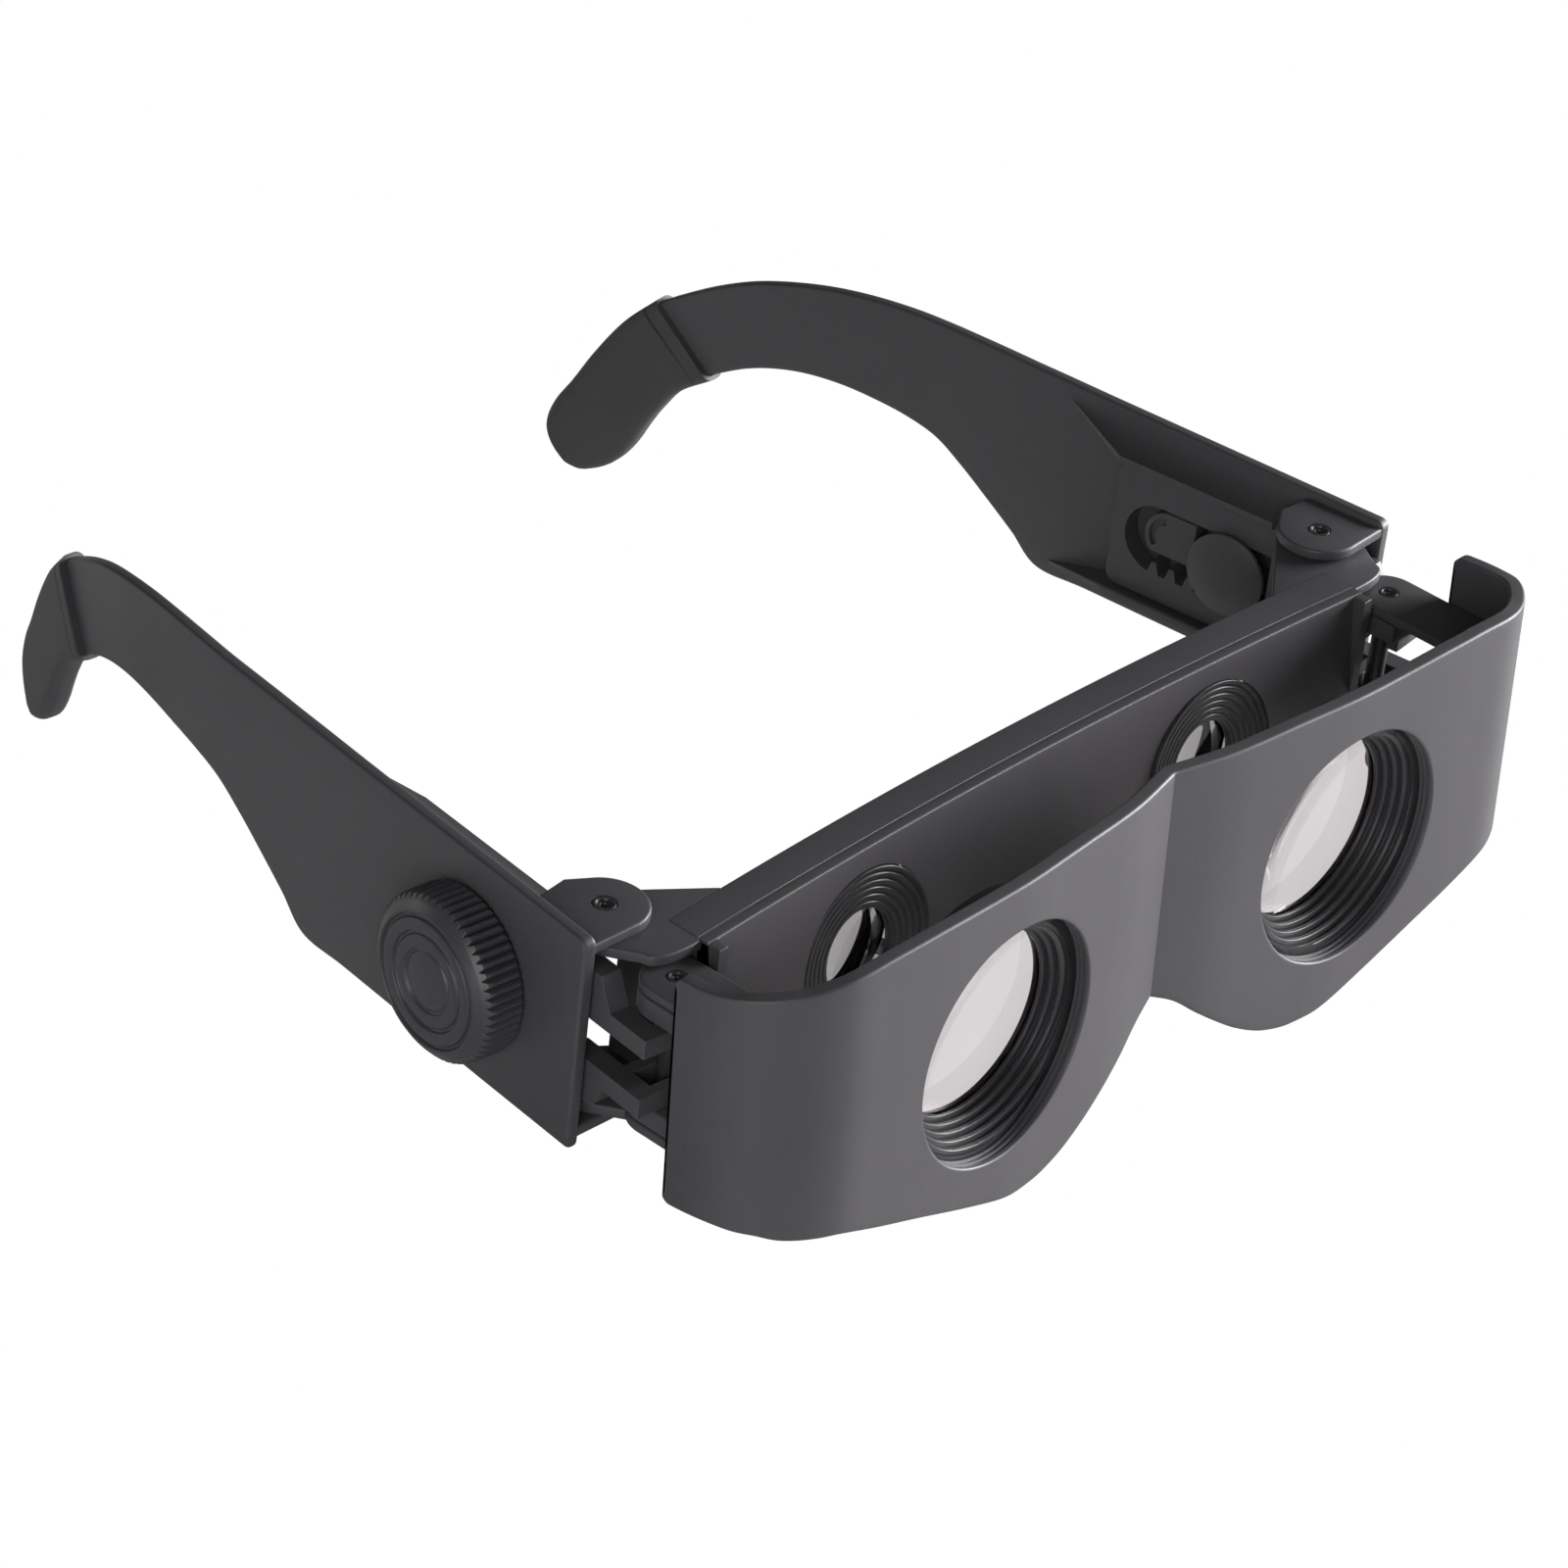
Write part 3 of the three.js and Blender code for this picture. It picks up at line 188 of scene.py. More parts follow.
# One mesh from grids of points. A patch is (grid, wrap, startCap, endCap): wrap closes each row, and a
# cap is a flat face on the first or last row. Points nearer than weld (mm) become one.
def skin(name, patches, mirror=False, weld=1e-4):
    points, faces, count = [], [], 0
    for grid, wrap, startCap, endCap in patches:
        rows, columns, _ = grid.shape
        points.append(grid.reshape(-1, 3))
        faces += quads(rows, columns, count, wrap).tolist()
        if startCap:
            faces.append(list(range(count + columns - 1, count - 1, -1)))
        if endCap:
            faces.append(list(range(count + (rows - 1) * columns, count + rows * columns)))
        count += rows * columns
    co = np.vstack(points) * [-1 if mirror else 1, 1, 1]
    mesh = bpy.data.meshes.new(name)
    mesh.from_pydata(((co + place) / mm).tolist(), [], faces)
    work = bmesh.new()
    work.from_mesh(mesh)
    bmesh.ops.remove_doubles(work, verts=work.verts, dist=weld / mm)
    bmesh.ops.dissolve_degenerate(work, edges=work.edges, dist=weld / mm)
    bmesh.ops.recalc_face_normals(work, faces=work.faces)
    work.to_mesh(mesh)
    work.free()
    return mesh


# A new object in the scene.
def linked(name, data):
    obj = bpy.data.objects.new(name, data)
    bpy.context.scene.collection.objects.link(obj)
    return obj


# Smooth shading, with sharp lines at more than an angle.
def shade(mesh, sharp=40):
    mesh.shade_smooth()
    mesh.set_sharp_from_angle(angle=math.radians(sharp))


# An object that rides on a body and has its slot's material.
def finishPiece(name, mesh, body, slot, sharp=40):
    shade(mesh, sharp)
    obj = linked(name, mesh)
    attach(obj, body)
    obj.data.materials.append(materials[slot])
    return obj


# A piece from one grid of closed rows, with flat ends where it is capped. Left grids are mirrored for
# the right.
def make(word, hand, grid, body, slot, capped=False, sharp=40):
    name = word + hand.title()
    mesh = skin(name, [(grid, True, capped, capped)], mirror=hand == "right")
    return finishPiece(name, mesh, body, slot, sharp)


drill = {"sides": 64, "length": 60.0}


# Cuts upright or lengthways cylinders, each (x, y, radius, axis), out of a piece.
def drilled(obj, *cutters):
    tools = []
    for x, y, radius, axis in cutters:
        bpy.ops.mesh.primitive_cylinder_add(vertices=drill["sides"], radius=radius / mm,
                                            depth=drill["length"] / mm)
        tool = bpy.context.active_object
        turn = Matrix.Rotation(math.pi / 2, 4, "X") if axis == "y" else Matrix.Identity(4)
        centre = (np.array([x, y, 0]) + place) / mm
        tool.data.transform(Matrix.Translation(centre.tolist()) @ turn)
        tools.append(tool)
    return carved(obj, tools)


# Cuts the tools' shapes out of a piece, and removes the tools.
def carved(obj, tools):
    for tool in tools:
        modifier = obj.modifiers.new("cut", "BOOLEAN")
        modifier.operation, modifier.solver, modifier.object = "DIFFERENCE", "EXACT", tool
    bpy.context.view_layer.update()
    graph = bpy.context.evaluated_depsgraph_get()
    mesh = bpy.data.meshes.new_from_object(obj.evaluated_get(graph))
    obj.modifiers.clear()
    old, obj.data = obj.data, mesh
    bpy.data.meshes.remove(old)
    for tool in tools:
        bpy.data.objects.remove(tool)
    shade(mesh)
    return obj


soften = {"merge": 0.001, "flat": math.radians(1), "corner": 35, "segments": 2}


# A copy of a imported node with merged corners, and edges rounded to a width.
def softened(word, hand, nodeName, body, slot, width):
    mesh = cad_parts[nodeName].data.copy()
    work = bmesh.new()
    work.from_mesh(mesh)
    bmesh.ops.remove_doubles(work, verts=work.verts, dist=soften["merge"] / mm)
    bmesh.ops.dissolve_limit(work, angle_limit=soften["flat"], verts=work.verts, edges=work.edges)
    work.to_mesh(mesh)
    work.free()
    mesh.materials.clear()
    obj = finishPiece(word + hand.title(), mesh, body, slot, soften["corner"])
    bevel = obj.modifiers.new("edges", "BEVEL")
    bevel.width, bevel.segments = width / mm, soften["segments"]
    bevel.limit_method, bevel.angle_limit = "ANGLE", math.radians(soften["corner"])
    bevel.harden_normals = True
    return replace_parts(obj, nodeName)


# Adds a shader node with its inputs, which are values or sockets, and its own settings.
def node(tree, kind, inputs, **settings):
    made = tree.nodes.new("ShaderNode" + kind)
    for field, value in settings.items():
        setattr(made, field, value)
    for key, value in inputs.items():
        if isinstance(value, bpy.types.NodeSocket):
            tree.links.new(value, made.inputs[key])
        else:
            made.inputs[key].default_value = value
    return made


# A new material with an empty node tree.
def emptyMaterial(name):
    material = bpy.data.materials.new(name)
    material.use_nodes = True
    material.node_tree.nodes.clear()
    return material, material.node_tree


# A soft noise between a look's dark and light tone. Its scale is a metre over its size.
def driftingTone(tree, look, where, detail):
    drift = node(tree, "TexNoise", {"Vector": where, "Scale": mm / look["driftMm"], "Detail": detail})
    return node(tree, "Mix", {0: drift.outputs["Fac"], 6: linear(look["dark"]), 7: linear(look["light"])},
                data_type="RGBA")


grain = {"roughness": 0.05, "depth": 0.25, "detail": 2.0, "toneDetail": 3.0, "tintDetail": 2.0}


# Moulded plastic: a drifting tone, and a fine noise for the grain's bumps, a quarter as deep as wide,
# and for small changes of roughness.
def plastic(name, look):
    material, tree = emptyMaterial(name)
    where = node(tree, "TexCoord", {}).outputs["Object"]
    tone = driftingTone(tree, look, where, grain["toneDetail"])
    size, mean, change = look["grainMm"], look["roughness"], grain["roughness"]
    noise = node(tree, "TexNoise", {"Vector": where, "Scale": mm / size, "Detail": grain["detail"]})
    rough = node(tree, "MapRange", {
        "Value": noise.outputs["Fac"], "To Min": mean - change, "To Max": mean + change})
    bump = node(tree, "Bump", {
        "Height": noise.outputs["Fac"], "Strength": look["bump"], "Distance": size * grain["depth"] / mm})
    shader = node(tree, "BsdfPrincipled", {
        "Base Color": tone.outputs[2], "Roughness": rough.outputs["Result"],
        "Normal": bump.outputs["Normal"], "Specular IOR Level": look["specular"]})
    node(tree, "OutputMaterial", {"Surface": shader.outputs["BSDF"]})
    return material


# Moulded lens: light goes through it and takes on a faint drifting tint.
def lensGlass(name, look):
    material, tree = emptyMaterial(name)
    where = node(tree, "TexCoord", {}).outputs["Object"]
    tint = driftingTone(tree, look, where, grain["tintDetail"])
    shader = node(tree, "BsdfPrincipled", {
        "Base Color": tint.outputs[2], "Roughness": look["roughness"], "Transmission Weight": 1.0,
        "IOR": look["ior"]})
    node(tree, "OutputMaterial", {"Surface": shader.outputs["BSDF"]})
    return material


# ABS from a spark-eroded mould, for the shell, frame and temples. Its fine grain spreads highlights into
# a soft grey sheen. The real grain is about 0.1 mm wide, and is drawn twice as coarse so that it shows.
texturedAbs = {"dark": "#484649", "light": "#545255", "roughness": 0.46, "specular": 0.5, "bump": 0.35,
               "grainMm": 0.22, "driftMm": 26.0}
# ABS from a polished mould, for the lens tubes and eyepiece rings: thin bright lines along dark ribs
polishedAbs = {"dark": "#363538", "light": "#424043", "roughness": 0.33, "specular": 0.5, "bump": 0.04,
               "grainMm": 0.3, "driftMm": 9.0}
# ABS from a finely blasted mould, for the focus wheels: satin, with soft highlights on ribs and rings
satinAbs = {"dark": "#434144", "light": "#4b4a4e", "roughness": 0.33, "specular": 0.5, "bump": 0.18,
            "grainMm": 0.2, "driftMm": 12.0}
# Thermoplastic elastomer moulded over the temples' ends: dull and soft, hardly any highlight
softTpe = {"dark": "#414043", "light": "#48474a", "roughness": 0.55, "specular": 0.45, "bump": 0.3,
           "grainMm": 0.25, "driftMm": 15.0}
# Acetal moulded smooth, for the pins and posts: darker than the rest, with a small clear highlight
smoothAcetal = {"dark": "#2f2f32", "light": "#3a3a3d", "roughness": 0.3, "specular": 0.5, "bump": 0.05,
                "grainMm": 0.2, "driftMm": 4.0}
# Acrylic moulded and polished, for the front lenses: clear and a little warm, so the paper shows through
clearAcrylic = {"dark": "#d3cdcf", "light": "#e2dddf", "roughness": 0.01, "ior": 1.49, "driftMm": 14.0}
# The same tinted grey, for the small rear lenses, which look grey from the front: the grey is painted shade
# of the dark bore seen through them
shadeTintedAcrylic = {"dark": "#8b888b", "light": "#a19d9f", "roughness": 0.01, "ior": 1.49, "driftMm": 6.0}

# The material of each slot of the record
materials = {
    "shell": plastic("texturedBlackAbs", texturedAbs),
    "gloss": plastic("polishedBlackAbs", polishedAbs),
    "knob": plastic("satinBlackAbs", satinAbs),
    "sleeve": plastic("softBlackTpe", softTpe),
    "pin": plastic("smoothBlackAcetal", smoothAcetal),
    "lens": lensGlass("clearMouldedAcrylic", clearAcrylic),
}
shadeTintedLens = lensGlass("shadeTintedMouldedAcrylic", shadeTintedAcrylic)
print("materials made")


# Front shell: a wall that follows a path round the face, with two round openings
shell = {
    "halfWidth": 72.6, "depth": 16.4, "top": 22.1, "lobe": 22.95, "endCorner": 1.2, "lobeBlend": 0.22,
    "rim": 0.4, "lip": 0.3, "flatTo": 60.0, "patchFrom": 14.6, "patchTo": 49.4, "tail": 0.5,
    "tailThin": 0.55, "perRow": 24, "columns": 44, "rows": 40, "rings": 14, "ringPower": 1.3,
    "innerColumns": 26, "outerColumns": 90, "edgeSteps": 5, "weld": 0.002,
}
# Rows of x, y, bottom edge and top edge, as shares of the sizes above
shellRows = [
    [0, 0.26, 0.434, 0.977], [0.05, 0.205, 0.511, 0.979], [0.1, 0.155, 0.633, 0.98],
    [0.15, 0.118, 0.747, 0.983], [0.2, 0.092, 0.851, 0.986], [0.257, 0.066, 0.941, 0.99],
    [0.314, 0.042, 0.995, 0.991], [0.343, 0.03, 1.02, 0.991], [0.371, 0.018, 1.02, 0.991],
    [0.429, 0.0, 0.973, 0.991], [0.529, -0.012, 0.874, 0.992], [0.643, -0.0255, 0.75, 1],
    [0.743, -0.0278, 0.65, 1], [0.829, -0.013, 0.565, 0.985], [0.871, 0.038, 0.55, 0.965],
    [0.907, 0.114, 0.54, 0.943], [0.932, 0.19, 0.53, 0.932], [0.957, 0.285, 0.505, 0.92],
    [0.979, 0.41, 0.495, 0.905], [0.993, 0.57, 0.49, 0.88], [1, 0.76, 0.497, 0.86],
    [1, 0.9, 0.51, 0.85], [1, 1, 0.515, 0.84],
]
# Grooves round a bore: where they start behind the face, and the depth and cut of their points
bore = {"starts": [0.6, 1.3], "groove": [[0.0, 0.0], [0.08, 0.3], [0.32, 0.34], [0.48, 0.0]]}


# The wall's path from the crease to the rear end, with its inward direction and its two edges.
# Both edges turn in along a quarter circle at the rear end. The bottom edge blends into its flat
# lobes as the blend length times the logarithm of one plus an exponential.
def shellPath():
    rows = np.array(shellRows) * [shell["halfWidth"], shell["depth"], -shell["lobe"], shell["top"]]
    p = spline(rows, shell["perRow"], 0.25)
    whole = np.vstack([p[:0:-1] * [-1, 1, 1, 1], p])
    slope = np.gradient(whole[:, :2], axis=0)
    slope /= np.linalg.norm(slope, axis=1, keepdims=True)
    inward = np.stack([-slope[:, 1], slope[:, 0]], 1)[len(p) - 1:]
    radius, blend = shell["endCorner"], shell["lobeBlend"]
    past = np.clip(radius - (shell["depth"] - p[:, 1]), 0, radius)
    corner = radius - np.sqrt(radius**2 - past**2)
    bottom = np.logaddexp(0, (p[:, 2] + shell["lobe"]) / blend) * blend - shell["lobe"]
    return {"n": np.arange(len(p)), "x": p[:, 0], "y": p[:, 1], "inX": inward[:, 0], "inY": inward[:, 1],
            "low": bottom + corner, "high": np.minimum(p[:, 3], shell["top"]) - corner}


path = shellPath()


# Values of the path at places along it.
def onPath(i, *keys):
    return [np.interp(i, path["n"], path[k]) for k in keys]


# Points of the wall at places along the path, at a depth behind its outer face and a height.
def shellAt(i, depth, z):
    x, y, ax, ay = onPath(i, "x", "y", "inX", "inY")
    return np.stack(np.broadcast_arrays(x + ax * depth, y + ay * depth + eyes["lean"] * z, z), -1)


# How far back a layer of the wall is: the kept part of the path moved inwards by the layer's depth,
# plus the wall's lean times the height.
def wallBack(x, z, depth, keep):
    across, back = path["x"] + path["inX"] * depth, path["y"] + path["inY"] * depth
    return np.interp(x, across[keep], back[keep]) + eyes["lean"] * z


# The same near the openings.
def wallDepth(x, z, depth):
    return wallBack(x, z, depth, path["x"] < shell["flatTo"])


# The wall's closed outline at each place: outer face, top edge, inner face and bottom edge, with
# quarter circles of the rim's radius between them.
def shellSection(i):
    bottom, top = (edge[:, None] for edge in onPath(i, "low", "high"))
    r, wall = shell["rim"], eyes["wall"]
    a = quarter(shell["edgeSteps"])[None, 1:]
    face = bottom + r + np.linspace(0, 1, shell["rows"])[None, :] * (top - bottom - 2 * r)
    depthTop = np.hstack([r - r * np.cos(a), wall - r + r * np.sin(a)])
    rise = np.hstack([r * np.sin(a), r * np.cos(a)])
    z = np.hstack([face, top - r + rise, face[:, ::-1], bottom + r - rise])
    depth = np.hstack([0 * face, depthTop + 0 * top, 0 * face + wall, wall - depthTop + 0 * top])
    return shellAt(i[:, None] + 0 * z, depth, z)


# A circle's x and z round the lens axis.
def roundAxis(radius, angles):
    return eyes["spacing"] / 2 + radius * np.cos(angles), radius * np.sin(angles)


# A net between the round opening and the edges of its part of the wall. Its lines run from the circle
# to the edge point in the same direction.
def openingPatch(first, last, depth, radius, angles):
    i = np.linspace(first, last, shell["columns"])
    bottom, top = onPath(i, "low", "high")
    bottom, top = bottom + shell["rim"], top - shell["rim"]
    v = np.linspace(0, 1, shell["rows"])
    left, right = bottom[0] + v * (top[0] - bottom[0]), bottom[-1] + v * (top[-1] - bottom[-1])
    edgePlace = np.concatenate([i, np.full(len(v) - 2, last), i[::-1], np.full(len(v) - 2, first)])
    edge = shellAt(edgePlace, depth, np.concatenate([bottom, right[1:-1], top[::-1], left[-2:0:-1]]))
    if angles is None:
        angles = np.arctan2(edge[:, 2], edge[:, 0] - eyes["spacing"] / 2)
    cx, cz = roundAxis(radius, angles)
    t = (np.linspace(0, 1, shell["rings"]) ** shell["ringPower"])[:, None]
    x, z = (1 - t) * cx + t * edge[:, 0], (1 - t) * cz + t * edge[:, 2]
    net = np.stack([x, wallDepth(x, z, depth), z], -1)
    net[-1] = edge
    return net, angles


# The bore of an opening: a rounded lip, the grooves and the first row of the inner face.
def boreRows(angles, radius, innerRow):
    a = quarter(shell["edgeSteps"])[:, None]
    x, z = roundAxis(radius + shell["lip"] * (1 - np.sin(a)) + 0 * angles, angles)
    rows = [*np.stack([x, wallDepth(x, z, 0.0) + shell["lip"] * (1 - np.cos(a)), z], -1)]
    for start in bore["starts"]:
        for depth, cut in bore["groove"]:
            x, z = roundAxis(radius + cut, angles)
            rows.append(np.stack([x, wallDepth(x, z, 0.0) + start + depth, z], -1))
    return np.stack([*rows, innerRow])


# The columns beyond the opening's patch. The rear end shrinks along a quarter circle.
def wrapColumns(last):
    columns = shellSection(np.linspace(last, path["n"][-1], shell["outerColumns"]))
    end = columns[-1]
    back = np.array([0, shell["tail"], 0])
    a = quarter(shell["edgeSteps"])[1:, None, None]
    thin = np.array([1, 0, 0]) * (end - end.mean(0)) * shell["tailThin"]
    tail = end - thin * (1 - np.cos(a)) + back * np.sin(a) - back
    return np.concatenate([columns[:-1], end[None] - back, tail])


# One half as columns, edge strips, two nets and a bore, and its mirror image.
def frontShell():
    flat = path["x"] < shell["flatTo"]
    first, last = (np.interp(shell[k], path["x"][flat], path["n"][flat]) for k in ("patchFrom", "patchTo"))
    rows, arcs, radius = shell["rows"], 2 * shell["edgeSteps"], eyes["opening"]
    between = shellSection(np.linspace(first, last, shell["columns"]))
    front, angles = openingPatch(first, last, 0.0, radius + shell["lip"], None)
    back, _ = openingPatch(first, last, eyes["wall"], radius, angles)
    half = [
        (shellSection(np.linspace(0, first, shell["innerColumns"])), True, False, False),
        (wrapColumns(last), True, False, True),
        (between[:, rows - 1:rows + arcs + 1], False, False, False),
        (np.concatenate([between[:, 2 * rows + arcs - 1:], between[:, :1]], 1), False, False, False),
        (front, True, False, False), (back, True, False, False),
        (boreRows(angles, radius, back[0]), True, False, False),
    ]
    other = [(grid * [-1, 1, 1], *rest) for grid, *rest in half]
    mesh = skin("frontShell", half + other, weld=shell["weld"])
    return finishPiece("frontShell", mesh, "front", "shell", sharp=24)


arm = {"x": 65.7, "end": 22.7, "radius": 4.3, "block": 4.5, "edge": 0.35, "post": 1.2, "slack": 0.15,
       "overlap": 0.2, "wallFrom": 50.0}


# A flat arm from the shell's wall to a round end with a thicker block, drilled for its post.
def sideArm(hand, word, level):
    outer, inner, boss = (layerHeight(k, level) for k in ("arm", "armInner", "boss"))
    reach = [arm["x"] - arm["radius"], arm["x"] + arm["radius"]]
    x, middle = np.linspace(*reach, 12), eyes["wall"] / 2
    front = wallBack(x, inner, middle, path["x"] + path["inX"] * middle > arm["wallFrom"])
    roundEnd = arc(arm["x"], arm["end"], arm["radius"], 0, 1, 28)
    block = np.vstack([[[edge, arm["end"] - arm["block"]] for edge in reach], roundEnd])
    outline = np.vstack([np.column_stack([x, front]), roundEnd])
    base = inner - level * arm["overlap"]
    for name, shape, ends in (("armPlate", outline, (outer, inner)), ("armBlock", block, (base, boss))):
        grid = slab(shape, min(ends), max(ends), arm["edge"])
        piece = make(name + word, hand, grid, "front", "shell", True)
        drilled(piece, (sides[hand] * arm["x"], arm["end"], arm["post"] + arm["slack"], "z"))


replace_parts(frontShell(), "front_panel")
for hand in sides:
    for word, level in layers.items():
        sideArm(hand, word, level)
print("front shell made")


# Ribbed lens tubes, lenses and their rings
tube = {"outer": 17.6, "length": 7.5, "collar": 15.2, "collarLength": 1.5, "funnel": 6.3, "throat": 12.2,
        "ribs": 6, "rib": 0.5, "seat": 13.7, "edge": 0.16, "play": 0.02, "gap": 0.25, "steps": 160}
frontLens = {"radius": 13.4, "front": 6.6, "edge": 1.4, "frontRise": -1.1, "backRise": 1.1}
frontRing = {"inner": 12.2, "outer": 13.4, "front": 8.3, "back": 8.9}
turning = {"steps": 96, "edge": 0.12}  # for lenses and rings
upright = (0.0, 0.0)  # a seat: how far back it is, and how much it leans


# The stepped funnel behind an opening: rounded ribs that narrow towards the lens, held behind the
# wall's inner face.
def lensTube(hand):
    opening, end = eyes["opening"], tube["length"] + tube["collarLength"]
    pitch, step = tube["funnel"] / tube["ribs"], (opening - tube["throat"]) / tube["ribs"]
    ribs = []
    for i in range(tube["ribs"]):
        crest = opening - step * (i + 1)
        ribs += [[crest + step + tube["rib"], pitch * (i + 0.5)], [crest, pitch * (i + 0.5)],
                 [crest, pitch * (i + 1)]]
    profile = rounded([
        [opening + tube["play"], 0.0], *ribs[1:], [tube["seat"], tube["funnel"] + tube["play"]],
        [tube["seat"], end], [tube["collar"], end], [tube["collar"], tube["length"]],
        [tube["outer"], tube["length"]], [tube["outer"], 0.0]], tube["edge"])
    grid = onLensAxis(profile, tube["steps"], *upright)
    floor = wallDepth(grid[..., 0], grid[..., 2], eyes["wall"]) + tube["gap"]
    grid[..., 1] = np.maximum(grid[..., 1], floor)
    grid = np.concatenate([grid, grid[:1]])
    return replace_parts(make("lensTube", hand, grid, "front", "gloss"), f"objective_barrel_{hand}")


# A shallow cap: its depth grows by the rise times one less the square of the share of the radius.
def crown(radius, edgeDepth, rise):
    share = np.linspace(1, 0, 17)
    return np.column_stack([radius * share, edgeDepth + rise * (1 - share**2)])


# A lens between two caps, on a seat.
def lensPiece(word, hand, body, sizes, seat, nodeName):
    front, back = sizes["front"], sizes["front"] + sizes["edge"]
    profile = np.vstack([crown(sizes["radius"], front, sizes["frontRise"])[::-1],
                         crown(sizes["radius"], back, sizes["backRise"])])
    grid = onLensAxis(profile, turning["steps"], *seat)
    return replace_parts(make(word, hand, grid, body, "lens"), f"{nodeName}_{hand}")


# A ring with a square section and small round edges, on a seat.
def ringPiece(word, hand, body, sizes, seat, nodeName):
    inner, outer, front, back = (sizes[k] for k in ("inner", "outer", "front", "back"))
    half = [inner, (front + back) / 2]
    box = [half, [inner, front], [outer, front], [outer, back], [inner, back], half]
    grid = onLensAxis(rounded(box, turning["edge"]), turning["steps"], *seat)
    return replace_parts(make(word, hand, grid, body, "gloss"), f"{nodeName}_{hand}")


for hand in sides:
    lensTube(hand)
    lensPiece("frontLens", hand, "front", frontLens, upright, "objective_lens")
    ringPiece("frontLensRing", hand, "front", frontRing, upright, "lens_retainer")
print("lens tubes made")


# Rear frame: a leaning wall under a ledge, with hinge lugs at its ends
rear = {"setback": 22.6, "bow": 2.0, "lean": 0.14, "leanFrom": -4.0, "wall": 1.8, "half": 60.3,
        "top": 14.4, "depth": 17.0, "ledge": 6.3, "ledgeThick": 1.5, "edge": 0.3, "grooveAt": 1.25,
        "groove": 0.07, "grooveWidth": 0.4, "slope": 0.05, "hole": 11.55, "holeAt": 30, "faceSteps": 16,
        "backSteps": 14}
# Rows of x and bottom edge, as shares of half the width and the depth
rearRows = [[0, 0.4], [0.08, 0.46], [0.16, 0.66], [0.25, 0.88], [0.36, 1], [0.48, 1], [0.62, 0.88],
            [0.78, 0.68], [0.9, 0.56], [1, 0.535]]


# Front face of the wall: bowed forward by the square of the share of half the width, and leaning back
# above a height.
def rearFace(x, z):
    lean = rear["lean"] * np.maximum(z - rear["leanFrom"], 0)
    return rear["setback"] - rear["bow"] * (x / rear["half"]) ** 2 + lean


# Sections of the wall and its ledge, one for each sideways place.
def rearWall():
    lowEdge = spline(np.array(rearRows) * [rear["half"], -rear["depth"]], 16, 0.25)
    lowEdge = np.vstack([lowEdge[:0:-1] * [-1, 1], lowEdge])
    top, under, cut = rear["top"], rear["top"] - rear["ledgeThick"], rear["top"] - rear["groove"]
    rings = []
    for x, bottom in lowEdge:
        lip, middle = rearFace(x, top), [rearFace(x, bottom) + rear["wall"] / 2, bottom]
        near, far = lip + rear["grooveAt"], lip + rear["grooveAt"] + rear["grooveWidth"]
        front = [[rearFace(x, z), z] for z in np.linspace(bottom, top, rear["faceSteps"])]
        back = [[rearFace(x, z) + rear["wall"], z] for z in np.linspace(under, bottom, rear["backSteps"])]
        ledge = [[near, top], [near + rear["slope"], cut], [far - rear["slope"], cut], [far, top],
                 [lip + rear["ledge"], top], [lip + rear["ledge"], under]]
        ring = rounded([middle, *front, *ledge, *back, middle], rear["edge"])[:-1]
        rings.append(np.column_stack([np.full(len(ring), x), ring]))
    holes = [(side * eyes["spacing"] / 2, rear["holeAt"], rear["hole"], "y") for side in sides.values()]
    return drilled(make("rearWall", "", np.array(rings), "rear", "shell", True, sharp=32), *holes)


lug = {"root": 50.9, "front": 24.2, "back": 30.2, "cornerFrom": 62.0, "side": 67.5, "cornerTo": 26.6,
       "radius": 5.3, "arcTo": 0.7, "waist": 2.65, "edge": 0.3, "hair": 0.04}


# A flat lug that flares out of the ledge and goes round the hinge pin, a hair lower than the ledge.
def hingeLug(hand, word, level):
    x, y, front = hinge["x"], hinge["y"], lug["front"]
    corner = bend([lug["cornerFrom"], front], [lug["side"], front], [lug["side"], lug["cornerTo"]], 8)
    outline = np.vstack([[[lug["root"], front]], corner, [[x + lug["radius"], y - lug["waist"]]],
                         arc(x, y, lug["radius"], 0, lug["arcTo"], 24), [[lug["root"], lug["back"]]]])
    outer, inner = layerHeight("lug", level) - level * lug["hair"], layerHeight("lugInner", level)
    grid = slab(outline, min(outer, inner), max(outer, inner), lug["edge"])
    return drilled(make("hingeLug" + word, hand, grid, "rear", "shell", True),
                   (sides[hand] * x, y, hinge["hole"], "z"))


endPlate = {"thick": 1.6, "front": 0.8, "back": 36.4, "inset": 0.1, "edge": 0.25}


# An upright plate at the end of the rear wall, between its two lugs.
def endWall(hand):
    inner, outer = rear["half"] - endPlate["thick"], rear["half"]
    front, back = float(rearFace(rear["half"], rear["leanFrom"])) + endPlate["front"], endPlate["back"]
    outline = [[inner, front], [outer, front], [outer, back], [inner, back]]
    bottom, top = (hinge["middle"] + level * (heights["lug"] - endPlate["inset"]) for level in (-1, 1))
    grid = slab(outline, bottom, top, endPlate["edge"])
    return make("endWall", hand, grid, "rear", "shell", True)


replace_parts(rearWall(), "rear_frame")
for hand in sides:
    endWall(hand)
    for word, level in layers.items():
        hingeLug(hand, word, level)
print("rear frame made")


